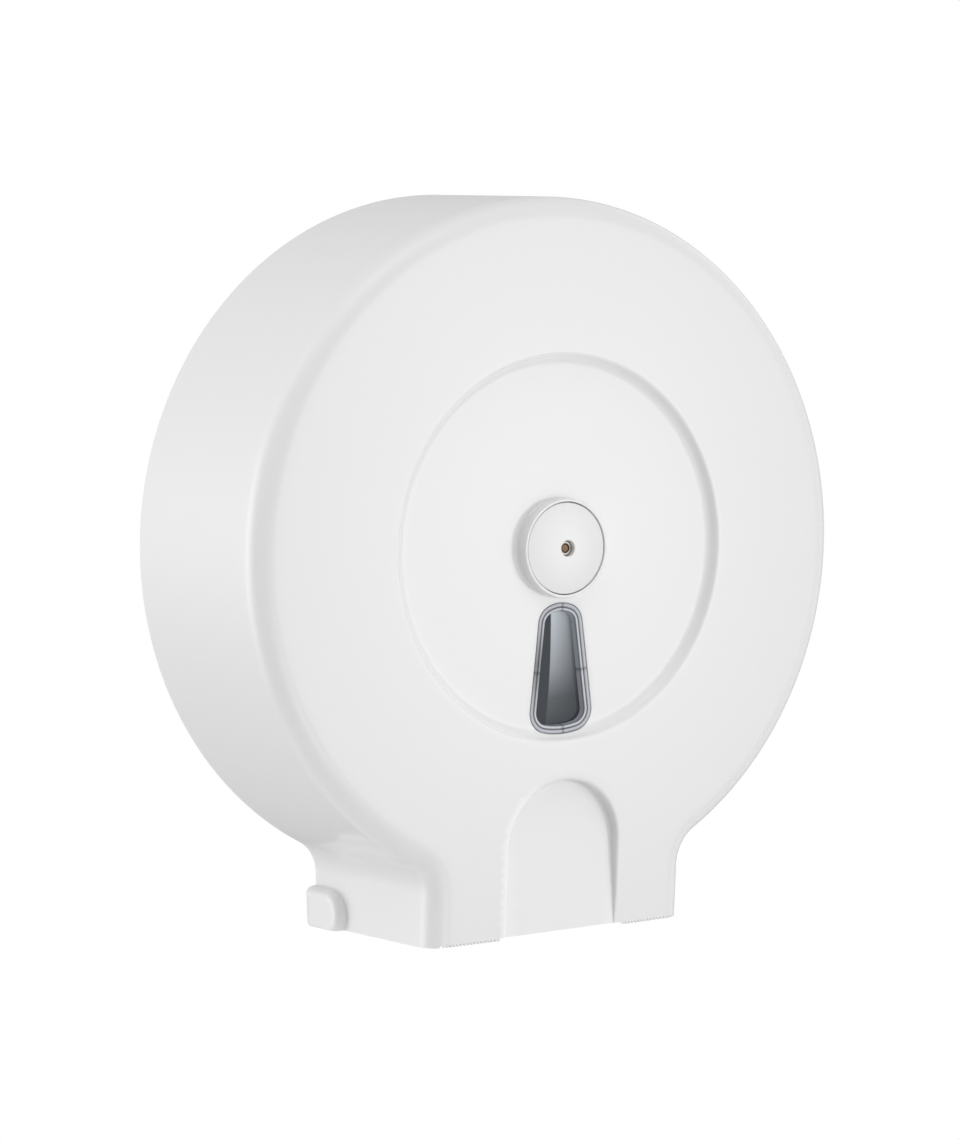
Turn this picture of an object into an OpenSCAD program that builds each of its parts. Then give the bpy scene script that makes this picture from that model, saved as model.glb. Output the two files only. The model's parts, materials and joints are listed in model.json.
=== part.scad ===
// Jumbo toilet roll dispenser for wall mounting.
// Origin: spindle axis where it meets the wall. +Z is up, the front faces -Y,
// and the wall is the plane Y = 0.

/* [Casing] */
// Radius of the round body
drum_r = 172.5; // [165:0.5:180]
// Wall to the top of the domed front
casing_depth = 120; // [112:1:130]
// How far the dome falls back from its top to the body's radius
dome_rise = 9.3; // [6:0.1:12]
// Wall thickness of the front cover
cover_wall = 3; // [2.4:0.1:3.4]
// Rounding of the cover's front edge
edge_r = 12; // [9:0.5:15]
// Gap between the cover's rear edge and the wall
wall_gap = 1.5; // [1:0.1:2.5]

/* [Foot] */
// Width of the foot below the round body
foot_w = 152; // [140:1:160]
// Spindle axis to the bottom of the foot
foot_drop = 193; // [188:1:200]
// Radius of the neck between body and foot
neck_r = 18; // [14:1:24]
// Spacing of the tear teeth
tooth_pitch = 2; // [1.5:0.1:4]
// Height of the tear teeth
tooth_h = 1.5; // [0.8:0.1:2.5]
// Plain stretch between the arched recess and the teeth
tooth_land = 2.5; // [1:0.5:6]
// The teeth stop this far short of the foot's sides
tooth_stop = 4; // [3:0.5:12]
// Width of the arched recess in the foot
arch_w = 68; // [56:1:76]
// Height of the arched recess
arch_h = 79; // [70:1:82]
// Depth of the arched recess at its top
arch_depth_top = 8.6; // [6:0.1:10]
// Depth of the arched recess at the foot's bottom
arch_depth_bottom = 0.9; // [0.6:0.1:2]

/* [Front disc] */
// Radius of the sunken disc in the front
disc_r = 95; // [92:0.5:100]
// Depth of the sunken disc
disc_depth = 5; // [3:0.1:6]
// Run of the soft slope inside the disc's edge
disc_slope = 3.5; // [2:0.5:8]

/* [Window] */
// Height of the window
window_h = 65; // [56:1:66]
// Width of the window at its bottom
window_w_bottom = 36.5; // [30:0.5:44]
// Width of the window at its top
window_w_top = 26; // [20:0.5:30]
// Corner radius at the window's top
window_top_r = 9.5; // [6:0.5:9.5]
// Corner radius at the window's bottom
window_bottom_r = 10.5; // [6:0.5:11]
// How far the window's two ends bulge
window_crown = 0.8; // [0.6:0.1:2.5]
// Spindle axis to the top of the window
window_top = 27.5; // [27:0.5:31]
// Width of the rim that rests in the cover's rebate
window_rim = 3.5; // [2.5:0.1:5]
// Thickness of the window
window_t = 1.5; // [1:0.1:1.8]
// Depth of the window's rear skirt
skirt_h = 5; // [4:0.5:8]

/* [Lock] */
// Radius of the round lock cap
cap_r = 22.6; // [20:0.1:22.8]
// Thickness of the lock cap at its edge
cap_t = 4.2; // [3.5:0.1:5]
// How far the cap's front bulges
cap_rise = 1.9; // [1:0.1:3]
// Wall of the collar around the cap
collar_wall = 1.35; // [1:0.05:2.5]
// How far the collar stands out of the disc
collar_h = 6.4; // [5:0.1:8]
// Radius of the collar's sleeve through the cover
sleeve_r = 18.8; // [16:0.1:19]
// Radius of the lock shaft
shaft_r = 8; // [7:0.1:9]
// Radius of the keyhole
keyhole_r = 4; // [3.4:0.1:5]
// Radius of the key post in the keyhole
key_post_r = 2.2; // [1.5:0.1:2.4]
// Length of the crossbar that locks the cover
bar_l = 18; // [16:0.5:19]
// Width of the crossbar
bar_w = 6; // [5:0.1:6.4]
// Thickness of the crossbar
bar_t = 3; // [2:0.1:3.4]

/* [Hinge] */
// Height of the hinge axis above the foot's bottom
hinge_h = 8; // [7.5:0.5:8]
// Distance of the hinge axis from the wall
hinge_out = 18; // [17:0.5:20]
// Radius of the hinge pins
pin_r = 3; // [2.5:0.1:4]
// Radius of the hinge bosses' round front
boss_r = 12; // [12:0.5:14]
// How far the hinge bosses stand out of the cover's sides
boss_out = 6; // [5:0.5:8]
// Edge rounding of the hinge bosses
boss_round = 4; // [2:0.5:5]
// Thickness of the hinge ears on the back plate
ear_t = 6; // [4:0.5:8]
// Radius of the hinge ears' ends
ear_r = 7.5; // [6:0.5:7.5]
// Rounding of the cover's rear lower corners
corner_r = 3; // [2.5:0.5:6]

/* [Back plate] */
// Thickness of the back plate
plate_t = 3; // [2.5:0.1:4]
// Height of the rim above the wall
rim_h = 12; // [9:0.5:13]
// Thickness of the rim
rim_t = 2.5; // [2:0.1:4]
// Thickness of the back plate's ribs
rib_t = 2; // [1.5:0.1:3]
// Height of the ribs above the plate
rib_h = 4; // [2:0.5:4]
// Spacing of the four wall holes, both ways
hole_spacing = 160; // [140:5:180]
// Radius of the wall holes
wall_hole_r = 2.75; // [2.5:0.05:3.5]
// Radius of the pads around the wall holes
hole_pad_r = 9; // [7:0.5:12]
// Height of the pads above the plate
hole_pad_h = 2; // [1:0.5:3]
// Radius of the raised seat under the spindle
seat_r = 38; // [36:0.5:45]
// Height of the raised seat above the plate
seat_h = 4; // [3:0.5:6]

/* [Spindle] */
// Radius of the fixed spindle post
post_r = 12; // [10:0.5:13]
// Wall of the spindle post
post_wall = 3; // [2:0.1:4]
// Thickness of the spindle post's flange
flange_t = 4; // [3:0.5:5]
// Radius of the spindle post's flange
flange_r = 34; // [33:0.5:36]
// Radius of the circle of the flange screws
flange_screw_pcr = 28; // [28:0.5:29]
// Outer radius of the rotating hub
hub_r = 20; // [18.5:0.5:22]
// Wall of the rotating hub
hub_wall = 5; // [4.6:0.1:5.2]
// Radius of the hub's rear flange
hub_flange_r = 44; // [38:1:50]
// Thickness of the hub's rear flange
hub_flange_t = 2.5; // [2:0.5:4]
// Length of each hub bush
bush_l = 14; // [10:1:20]
// Outer radius of the brake washer
brake_r = 22; // [18:0.5:23]
// Thickness of the brake washer
brake_t = 2.3; // [2.3:0.1:3]
// Outer radius of the adapter for wide cores
adapter_r = 28.5; // [27:0.5:32]
// Wall of the adapter
adapter_wall = 2; // [1.5:0.1:3]
// Number of webs in the adapter
adapter_webs = 8; // [6:1:12]
// Outer radius of the strike cup
strike_r = 18.5; // [17.5:0.5:19.5]
// Wall of the strike cup
strike_wall = 3; // [2.5:0.1:3.2]
// Thickness of the strike cup's lips
lip_t = 2.5; // [2:0.1:3]

/* [Clearances] */
// Gap between surfaces that pass each other
pass_gap = 0.3; // [0.2:0.05:0.5]
// Radial running gap of a shaft in its bore
run_gap = 0.06; // [0.03:0.01:0.1]
// Radial gap of a piece pushed into its seat
seat_gap = 0.02; // [0.01:0.01:0.05]
// Gap all round between the back plate and the cover that swings over it
swing_gap = 3; // [2.8:0.1:4]
// Gap around the window in its rebate
window_gap = 0.25; // [0.15:0.05:0.4]

/* [Hidden] */
$fn = 96;

white = [0.93, 0.93, 0.92];
grey = [0.62, 0.64, 0.66];
steel = [0.75, 0.76, 0.78];
brass = [0.71, 0.55, 0.30];
smoke = [0.20, 0.22, 0.24, 0.6];

// Extra length by which a cut passes a face
cut = 1;
// Segments of a rounded edge and of the dome in a profile
edge_n = 8;
dome_n = 10;

// The dome is part of a sphere, and the front edge is an arc tangent to it
dome_r = (drum_r * drum_r + dome_rise * dome_rise) / (2 * dome_rise);
dome_c = casing_depth - dome_r;
edge_x = drum_r - edge_r;
edge_y = dome_c + sqrt(pow(dome_r - edge_r, 2) - edge_x * edge_x);
edge_end = acos(edge_x / (dome_r - edge_r));
function front_at(rho, inset = 0) = dome_c + sqrt(pow(dome_r - inset, 2) - rho * rho);

// Foot
foot_x = foot_w / 2;
foot_z = -foot_drop;
neck_x = foot_x + neck_r;
neck_z = -sqrt(pow(drum_r + neck_r, 2) - neck_x * neck_x);
neck_end = 180 - atan(-neck_z / neck_x);
foot_top_rho = drum_r - 3.5 * edge_r;
// The foot's slab stands this much ahead of the dome, which then trims it
slab_ahead = 0.5;
// The foot's front lies this much behind the line of the dome, sampled in so many bands
cap_under = 0.25;
cap_n = 4;
// The foot reaches up to this height, inside the drum
foot_reach_z = -110;
foot_top_y = front_at(foot_top_rho) + slab_ahead;
foot_tilt = atan((foot_top_y - front_at(foot_drop) - slab_ahead) / (foot_drop - foot_top_rho));
// Start of the neck's rounded edge, and how far its ring reaches into the casing
neck_edge_y = front_at(sqrt(foot_x * foot_x + neck_z * neck_z)) - edge_r - 0.3;
neck_ring = edge_r + 2;

// Arched recess
arch_x = arch_w / 2;
arch_top_z = foot_z + arch_h;
arch_floor_top = front_at(-arch_top_z) - arch_depth_top;
arch_floor_bottom = front_at(foot_drop) - arch_depth_bottom;
arch_tilt = atan((arch_floor_top - arch_floor_bottom) / arch_h);
teeth_x0 = arch_x + tooth_land;
teeth_x1 = foot_x - tooth_stop;

// Window: its plane leans with the dome behind it
window_bottom = window_top + window_h;
window_y = front_at(window_top) - disc_depth;
window_tilt = atan((window_y - front_at(window_bottom) + disc_depth) / window_h);
clip_t = 1;

// Lock, from the disc's floor forward
disc_floor = casing_depth - disc_depth;
cover_inside = disc_floor - cover_wall;
collar_front = disc_floor + collar_h;
pocket_r = cap_r + 0.45;
collar_r = pocket_r + collar_wall;
cap_back = collar_front - cap_t - 0.6;
pocket_floor = cap_back - pass_gap;
nut_w = 8;
nut_t = 4.6;
nut_back = cover_inside - 0.5 - nut_t;
sleeve_back = nut_back - 0.5;
clip_w = 5;
clip_front = sleeve_back - pass_gap;
shaft_back = clip_front - clip_t - 1.2;
bolt_screw_in = 3;
groove_r = shaft_r - 1;
keyhole_back = clip_front + 4;
post_end = collar_front + 0.2;
sleeve_wall_key = 0.8;

// Screws
screw_r = 2;
screw_head_r = 3.8;
screw_head_t = 2.1;
screw_hole_r = screw_r + 0.1;
screw_pilot_r = screw_r + seat_gap;

// Spindle, from the wall forward
seat_front = plate_t + seat_h;
flange_front = seat_front + flange_t;
brake_front = flange_front + brake_t;
hub_back = brake_front + pass_gap;
bar_front = shaft_back - 4;
bar_back = bar_front - bar_t;
lip_back = bar_front + 0.5;
strike_front = lip_back + lip_t;
strike_in = bar_back - 2 * screw_head_t - 0.6;
strike_back = strike_in - strike_wall;
hub_front = strike_back - pass_gap;
bush_in = post_r + run_gap;
hub_bore = hub_r - hub_wall;
post_bore = post_r - post_wall;
post_web = 3;

// Hinge
hinge_y = -hinge_out;
hinge_z = foot_z + hinge_h;
ear_x = foot_x - cover_wall - pass_gap;
boss_bore_end = foot_x + boss_out - 2;

// Back plate
plate_inset = cover_wall + swing_gap;
plate_bottom = 1;

// ---- shared shapes ----

// Extrudes a shape drawn as seen from the front, from depth a to depth b
module deep(a, b) {
    translate([0, -a, 0]) rotate([90, 0, 0]) linear_extrude(b - a) children();
}

// A round bar along the spindle's direction, from depth a to depth b
module round_bar(r, a, b) {
    translate([0, -a, 0]) rotate([90, 0, 0]) cylinder(r = r, h = b - a);
}

module ring(r_out, r_in, a, b) {
    difference() {
        round_bar(r_out, a, b);
        round_bar(r_in, a - cut, b + cut);
    }
}

// A cylinder across the object, from x = a to x = b, on the hinge axis
module hinge_bar(r, a, b) {
    translate([a, hinge_y, hinge_z]) rotate([0, 90, 0]) cylinder(r = r, h = b - a);
}

module both_sides() {
    children();
    mirror([1, 0, 0]) children();
}

// A pan-head screw whose head starts at depth a and faces forward
module screw(a, shank_l) {
    difference() {
        round_bar(screw_head_r, a, a + screw_head_t);
        for (turn = [0, 90])
            translate([0, -a - screw_head_t, 0]) rotate([0, turn, 0])
                cube([4.4, 2 * 1.2, 0.9], center = true);
    }
    round_bar(screw_r, a - shank_l, a);
}

// Round body, inset by a wall: edge arc and dome arc as one profile
function drum_profile(inset, rear) = concat(
    [[0, rear], [drum_r - inset, rear]],
    [for (i = [0:edge_n]) let (a = edge_end * i / edge_n)
        [edge_x + (edge_r - inset) * cos(a), edge_y + (edge_r - inset) * sin(a)]],
    [for (i = [1:dome_n]) let (a = edge_end + (90 - edge_end) * i / dome_n)
        [i == dome_n ? 0 : (dome_r - inset) * cos(a), dome_c + (dome_r - inset) * sin(a)]]);

module drum(inset, rear) {
    rotate([90, 0, 0]) rotate_extrude($fn = 180) polygon(drum_profile(inset, rear));
}

// What the dome leaves of everything in front, out past the foot's bottom
module dome_cap(inset, rear) {
    reach = foot_drop + edge_r;
    rotate([90, 0, 0]) rotate_extrude($fn = 180) polygon(concat([[0, rear], [reach, rear]],
        [for (i = [0:cap_n]) let (rho = reach * (1 - i / cap_n))
            [rho, front_at(rho, inset) - cap_under]]));
}

// Right-hand neck fillet as a filled corner, inset by a wall
function neck_points(inset) = concat(
    [for (i = [0:edge_n]) let (a = 180 + (neck_end - 180) * i / edge_n)
        [neck_x + (neck_r + inset) * cos(a), neck_z + (neck_r + inset) * sin(a)]],
    [[0.94 * (drum_r - inset) * neck_x / (drum_r + neck_r),
      0.94 * (drum_r - inset) * neck_z / (drum_r + neck_r)],
     [foot_x - inset - neck_r / 2, neck_z]]);

// Flat outline of body and foot, inset by a wall
module outline(inset, bottom) {
    circle(r = drum_r - inset, $fn = 180);
    translate([-(foot_x - inset), foot_z + bottom])
        square([2 * (foot_x - inset), foot_drop - bottom]);
    polygon(neck_points(inset));
    mirror([1, 0]) polygon(neck_points(inset));
}

// Right-hand neck fillet in depth, with the rounded front edge carried round it
module neck(inset, rear) {
    r0 = neck_r + inset;
    r1 = neck_r + neck_ring;
    top = neck_edge_y + edge_r - inset;
    profile = concat([[r0, rear], [r0, neck_edge_y]],
        [for (i = [1:edge_n]) let (a = 180 - 90 * i / edge_n)
            [neck_r + edge_r + (edge_r - inset) * cos(a), neck_edge_y + (edge_r - inset) * sin(a)]],
        [[r1, top], [r1, rear]]);
    translate([neck_x, 0, neck_z]) rotate([90, 0, 0]) intersection() {
        rotate_extrude() polygon(profile);
        linear_extrude(casing_depth) polygon([[0, 0],
            for (a = [181, 165, 150, neck_end - 1]) 1.2 * r1 * [cos(a), sin(a)]]);
    }
}

// Section of the foot: a slab with two rounded front corners
function foot_section(inset) = concat(
    [[-(foot_x - inset), casing_depth], [-(foot_x - inset), edge_r]],
    [for (i = [1:edge_n]) let (a = 180 + 90 * i / edge_n)
        [-(foot_x - edge_r) + (edge_r - inset) * cos(a), edge_r + (edge_r - inset) * sin(a)]],
    [for (i = [0:edge_n - 1]) let (a = 270 + 90 * i / edge_n)
        [foot_x - edge_r + (edge_r - inset) * cos(a), edge_r + (edge_r - inset) * sin(a)]],
    [[foot_x - inset, edge_r], [foot_x - inset, casing_depth]]);

// Foot block, inset by a wall, from its bottom up into the drum
module foot(inset, rear, below) {
    intersection() {
        dome_cap(inset, rear);
        translate([0, -foot_top_y, -foot_top_rho]) rotate([foot_tilt, 0, 0])
            translate([0, 0, -foot_drop]) linear_extrude(2 * foot_drop)
                polygon(foot_section(inset));
        translate([-foot_x, -casing_depth, foot_z - below])
            cube([foot_w, casing_depth - rear, foot_reach_z - foot_z + below]);
    }
}

// The casing's whole form, inset by a wall
module casing(inset, rear, below) {
    drum(inset, rear);
    foot(inset, rear, below);
    both_sides() neck(inset, rear);
}

// ---- front cover ----

module arch_shape(grow) {
    translate([0, -arch_x]) circle(r = arch_x + grow);
    translate([-arch_x - grow, -2 * arch_h]) square([2 * (arch_x + grow), 2 * arch_h - arch_x]);
}

// The arch from a depth behind its floor to a depth in front of it
module arch_block(grow, behind, ahead) {
    translate([0, -arch_floor_top, arch_top_z]) rotate([arch_tilt, 0, 0])
        deep(-behind, ahead) arch_shape(grow);
}

// Sunken disc: sharp outer edge, soft slope inside it, floor parallel to the dome
module disc_cut() {
    slope_n = 5;
    inner = disc_r - disc_slope;
    profile = concat(
        [[0, casing_depth + cut], [disc_r, casing_depth + cut], [disc_r, front_at(disc_r) - 0.6]],
        [for (i = [1:slope_n]) let (t = i / slope_n)
            [disc_r - disc_slope * t, front_at(disc_r - disc_slope * t)
                - 0.6 - (disc_depth - 0.6) * sin(90 * t)]],
        [for (i = [1:dome_n]) let (rho = inner * (1 - i / dome_n))
            [rho, front_at(rho) - disc_depth]]);
    rotate([90, 0, 0]) rotate_extrude($fn = 144) polygon(profile);
}

// Window outline: tapered sides, round corners and bulged ends; z is measured from its top.
// Each end arc is tangent to its two corner arcs, and the sides to the corners they join.
function arc_points(x, z, r, a0, a1, n = 5) =
    [for (i = [0:n]) let (a = a0 + (a1 - a0) * i / n) [x + r * cos(a), z + r * sin(a)]];
module window_shape(grow) {
    xt = window_w_top / 2 - window_top_r;
    xb = window_w_bottom / 2 - window_bottom_r;
    zt = -window_crown - window_top_r;
    zb = window_crown + window_bottom_r - window_h;
    reach_t = (xt * xt + window_crown * window_crown) / (2 * window_crown);
    reach_b = (xb * xb + window_crown * window_crown) / (2 * window_crown);
    side = atan2(zt - zb, xt - xb)
        - acos((window_bottom_r - window_top_r) / norm([xt - xb, zt - zb]));
    turn_t = asin(xt / reach_t);
    turn_b = asin(xb / reach_b);
    big_t = reach_t + window_top_r;
    big_b = reach_b + window_bottom_r;
    half = concat(
        arc_points(0, big_b - window_h, big_b + grow, -90, turn_b - 90),
        arc_points(xb, zb, window_bottom_r + grow, turn_b - 88, side),
        arc_points(xt, zt, window_top_r + grow, side + 1, 88 - turn_t),
        arc_points(0, -big_t, big_t + grow, 90 - turn_t, 90));
    n = len(half);
    polygon(concat(half, [for (i = [2:n - 1]) [-half[n - i][0], half[n - i][1]]]));
}
module window_place() {
    translate([0, -window_y, -window_top]) rotate([window_tilt, 0, 0]) children();
}

// Boss round the hinge pin: round in front, square at the rear, flat along the foot's bottom
module boss() {
    rear = hinge_out - wall_gap;
    profile = concat([[0, 0], [boss_r, 0]],
        [for (i = [0:edge_n]) let (a = 90 * i / edge_n)
            [boss_r - boss_round + boss_round * cos(a), boss_out - boss_round + boss_round * sin(a)]],
        [[0, boss_out]]);
    translate([foot_x, hinge_y, hinge_z]) difference() {
        union() {
            rotate([0, 90, 0]) rotate_extrude() polygon(profile);
            translate([0, rear, 0]) rotate([90, 0, 0]) linear_extrude(rear)
                intersection() {
                    square([boss_out, boss_r]);
                    polygon([for (p = profile) [p[1], p[0]]]);
                }
            translate([0, 0, -hinge_h]) cube([boss_out, rear, hinge_h]);
        }
        translate([-cut, -2 * boss_r, -hinge_h - boss_r])
            cube([boss_out + 2 * cut, 2 * boss_r + rear, boss_r]);
    }
    hinge_bar(boss_r / 2, foot_x - cover_wall, foot_x + cut);
}

// Tear teeth along the bottom edge, with the plain raised edge between the two rows
module teeth() {
    count = floor((teeth_x1 - teeth_x0) / tooth_pitch);
    row = concat([[teeth_x0, tooth_h], [teeth_x0, 0]],
        [for (i = [0:count - 1]) each [[teeth_x0 + (i + 0.5) * tooth_pitch, tooth_h],
            [teeth_x0 + (i + 1) * tooth_pitch, 0]]],
        [[teeth_x0 + count * tooth_pitch, -cut]]);
    n = len(row);
    translate([0, 0, foot_z]) deep(edge_y - edge_r, casing_depth)
        polygon(concat(row, [for (i = [1:n]) [-row[n - i][0], row[n - i][1]]]));
}

// What is cut off the cover's rear lower corners so that they clear the wall as it opens
module corner_cut() {
    translate([-foot_w, -wall_gap - corner_r, foot_z]) difference() {
        translate([0, 0, -cut]) cube([2 * foot_w, corner_r + cut, corner_r + cut]);
        translate([-cut, 0, corner_r]) rotate([0, 90, 0])
            cylinder(r = corner_r, h = 2 * (foot_w + cut));
    }
}

module front_cover() {
    color(white) difference() {
        union() {
            difference() {
                casing(0, wall_gap, 0);
                difference() {
                    casing(cover_wall, wall_gap - cut, cut);
                    arch_block(cover_wall, cover_wall, casing_depth);
                    round_bar(disc_r, front_at(disc_r) - disc_depth - cover_wall, casing_depth);
                }
                ring_pocket();
            }
            both_sides() boss();
        }
        disc_cut();
        round_bar(sleeve_r + pass_gap / 2, 0, casing_depth);
        window_place() {
            deep(-cut - 3 * cover_wall, cut + disc_depth) window_shape(-window_rim);
            deep(-window_t - 0.1, cut + disc_depth) window_shape(window_gap);
        }
        arch_block(0, 0, casing_depth);
        teeth();
        both_sides() hinge_bar(pin_r + run_gap, foot_x - 2 * cover_wall, boss_bore_end);
        corner_cut();
    }
}

// Space behind the sunken disc: its wall is as thick as the rest
module ring_pocket() {
    profile = concat([[0, edge_y - edge_r]],
        [[disc_r - disc_slope, edge_y - edge_r]],
        [for (i = [0:dome_n]) let (rho = (disc_r - disc_slope) * (1 - i / dome_n))
            [rho, front_at(rho) - disc_depth - cover_wall]]);
    rotate([90, 0, 0]) rotate_extrude($fn = 144) polygon(profile);
}

module inspection_window() {
    color(smoke) window_place() {
        deep(-window_t, 0) window_shape(0);
        difference() {
            deep(-window_t - skirt_h, -window_t) window_shape(-window_rim - window_gap);
            deep(-window_t - skirt_h - cut, -window_t)
                window_shape(-window_rim - window_gap - 1.2);
        }
    }
}

// Push-on strips behind the cover that hold the window's skirt at both sides
module window_clips() {
    gap_back = cover_wall + pass_gap;
    color(steel) window_place() {
        for (end = [0, 1]) {
            deep(-gap_back - clip_t, -gap_back) intersection() {
                difference() {
                    window_shape(0);
                    window_shape(-window_rim - window_gap + seat_gap);
                }
                translate([end == 0 ? -window_w_bottom : 0, -0.62 * window_h])
                    square([window_w_bottom, 0.24 * window_h]);
            }
        }
    }
}

// ---- lock ----

module lock_collar() {
    color(white) difference() {
        union() {
            round_bar(collar_r, disc_floor, collar_front - 0.5);
            translate([0, -collar_front + 0.5, 0]) rotate([90, 0, 0])
                cylinder(r1 = collar_r, r2 = collar_r - 0.5, h = 0.5);
            round_bar(sleeve_r, sleeve_back, disc_floor);
        }
        round_bar(pocket_r, pocket_floor, collar_front + cut);
        round_bar(shaft_r + run_gap, sleeve_back - cut, collar_front);
        ring(sleeve_r - 2.5, shaft_r + 2.5, sleeve_back - cut, pocket_floor - 2.5);
    }
}

module lock_nut() {
    color(grey) difference() {
        round_bar(sleeve_r + nut_w, nut_back, nut_back + nut_t);
        round_bar(sleeve_r + run_gap, nut_back - cut, nut_back + nut_t + cut);
        for (i = [0:5]) rotate([0, 60 * i, 0])
            translate([sleeve_r + nut_w, -nut_back, 0]) cube([5, 4, 5], center = true);
    }
}

// Turning cap: bulged front, keyhole, and a shaft with a groove for its clip
module lock_cap() {
    cap_n = 8;
    bulge_r = (cap_r * cap_r + cap_rise * cap_rise) / (2 * cap_rise);
    top = cap_back + cap_t + cap_rise;
    profile = concat(
        [[0, shaft_back], [shaft_r, shaft_back], [shaft_r, clip_front - clip_t - 0.1],
         [groove_r, clip_front - clip_t - 0.1], [groove_r, clip_front + 0.1],
         [shaft_r, clip_front + 0.1], [shaft_r, cap_back], [cap_r, cap_back]],
        [for (i = [0:cap_n]) let (rho = cap_r * (1 - i / cap_n))
            [rho, top - bulge_r + sqrt(bulge_r * bulge_r - rho * rho)]]);
    color(white) difference() {
        rotate([90, 0, 0]) rotate_extrude() polygon(profile);
        round_bar(keyhole_r, keyhole_back, top + cut);
        round_bar(key_post_r + seat_gap, keyhole_back - 3, top);
        round_bar(screw_pilot_r, shaft_back - cut, shaft_back + bolt_screw_in + seat_gap);
    }
}

module key_post() {
    color(brass) {
        round_bar(key_post_r, keyhole_back - 3, post_end);
        translate([0, -post_end, 0]) rotate([90, 0, 0])
            cylinder(r1 = key_post_r, r2 = key_post_r - 0.5, h = 0.5);
    }
}

module key_sleeve() {
    color(steel) ring(keyhole_r - seat_gap, keyhole_r - sleeve_wall_key,
        keyhole_back, cap_back + cap_t);
}

module rotor_clip() {
    color(steel) difference() {
        ring(shaft_r + clip_w, groove_r + seat_gap, clip_front - clip_t, clip_front);
        translate([-groove_r / 2, -clip_front - cut, -shaft_r - clip_w])
            cube([groove_r, clip_t + 2 * cut, shaft_r + clip_w]);
    }
}

// Crossbar: stands upright when unlocked and turns level behind the strike's lips
module lock_bolt() {
    color(steel) difference() {
        union() {
            round_bar(bar_w / 2, bar_back, shaft_back);
            deep(bar_back, bar_front) intersection() {
                square([bar_w, bar_l], center = true);
                circle(r = bar_l / 2);
            }
        }
        round_bar(screw_hole_r, bar_back - cut, shaft_back + cut);
    }
}

module bolt_screw() {
    color(steel) translate([0, -2 * bar_back, 0]) rotate([0, 0, 180])
        screw(bar_back, shaft_back - bar_back + bolt_screw_in);
}

// ---- back plate and hinge ----

module hinge_ear() {
    hinge_bar(ear_r, ear_x - ear_t, ear_x);
    translate([ear_x - ear_t, hinge_y, hinge_z - ear_r])
        cube([ear_t, -hinge_y - plate_t / 2, 2 * ear_r]);
}

module at_wall_holes() {
    for (x = [-1, 1], z = [-1, 1])
        translate([x * hole_spacing / 2, 0, z * hole_spacing / 2]) children();
}

module at_flange_screws() {
    for (i = [0:2]) rotate([0, 90 + 120 * i, 0]) translate([flange_screw_pcr, 0, 0]) children();
}

module back_plate() {
    color(white) difference() {
        union() {
            deep(0, plate_t) outline(plate_inset, plate_bottom);
            difference() {
                deep(0, rim_h) outline(plate_inset, plate_bottom);
                deep(plate_t - cut, rim_h + cut)
                    outline(plate_inset + rim_t, plate_bottom + rim_t);
            }
            round_bar(seat_r, plate_t / 2, seat_front);
            at_wall_holes() round_bar(hole_pad_r, plate_t / 2, plate_t + hole_pad_h);
            deep(plate_t / 2, plate_t + rib_h) for (i = [0:7]) rotate(22.5 + 45 * i)
                translate([seat_r - cut, -rib_t / 2])
                    square([drum_r - plate_inset - rim_t / 2 - seat_r + cut, rib_t]);
            both_sides() hinge_ear();
        }
        at_wall_holes() round_bar(wall_hole_r, -cut, rim_h);
        at_flange_screws() round_bar(screw_pilot_r, cut, rim_h);
        both_sides() hinge_bar(pin_r + seat_gap, ear_x - ear_t - cut, ear_x + cut);
    }
}

module hinge_pins() {
    color(steel) both_sides() hinge_bar(pin_r, ear_x - ear_t, boss_bore_end - pass_gap);
}

// ---- spindle ----

module spindle_post() {
    color(grey) difference() {
        union() {
            round_bar(flange_r, seat_front, flange_front);
            round_bar(post_r, seat_front, strike_back);
        }
        round_bar(post_bore, seat_front - cut, strike_back - post_web);
        round_bar(screw_pilot_r, seat_front, strike_back + cut);
        at_flange_screws() round_bar(screw_hole_r, seat_front - cut, flange_front + cut);
    }
}

module spindle_screws() {
    color(steel) at_flange_screws() screw(flange_front, flange_front - 2 * cut);
}

module brake_washer() {
    color([0.35, 0.36, 0.38]) ring(brake_r, post_r + pass_gap, flange_front, brake_front);
}

// Cup on the spindle's end: keeps the hub on, and its slotted lips hold the crossbar
module lock_strike() {
    slot_x = bar_w / 2 + 0.7;
    slot_top = bar_l / 2 + 1;
    slot_bottom = bar_l / 2 + 5;
    color(grey) difference() {
        round_bar(strike_r, strike_back, strike_front);
        round_bar(strike_r - strike_wall, strike_in, lip_back);
        round_bar(screw_hole_r, strike_back - cut, strike_in + cut);
        deep(lip_back - cut, strike_front + cut) translate([-slot_x, -slot_bottom])
            square([2 * slot_x, slot_top + slot_bottom]);
    }
}

module strike_screw() {
    color(steel) screw(strike_in, strike_wall + post_web + 3);
}

module roll_hub() {
    color(white) difference() {
        union() {
            round_bar(hub_r, hub_back, hub_front - 2);
            translate([0, -hub_front + 2, 0]) rotate([90, 0, 0])
                cylinder(r1 = hub_r, r2 = hub_r - 2, h = 2);
            round_bar(hub_flange_r, hub_back, hub_back + hub_flange_t);
        }
        round_bar(hub_bore, hub_back - cut, hub_front + cut);
    }
}

module hub_bush(a) {
    color(grey) ring(hub_bore - seat_gap, bush_in, a, a + bush_l);
}
module hub_bush_rear() { hub_bush(hub_back); }
module hub_bush_front() { hub_bush(hub_front - bush_l); }

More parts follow.
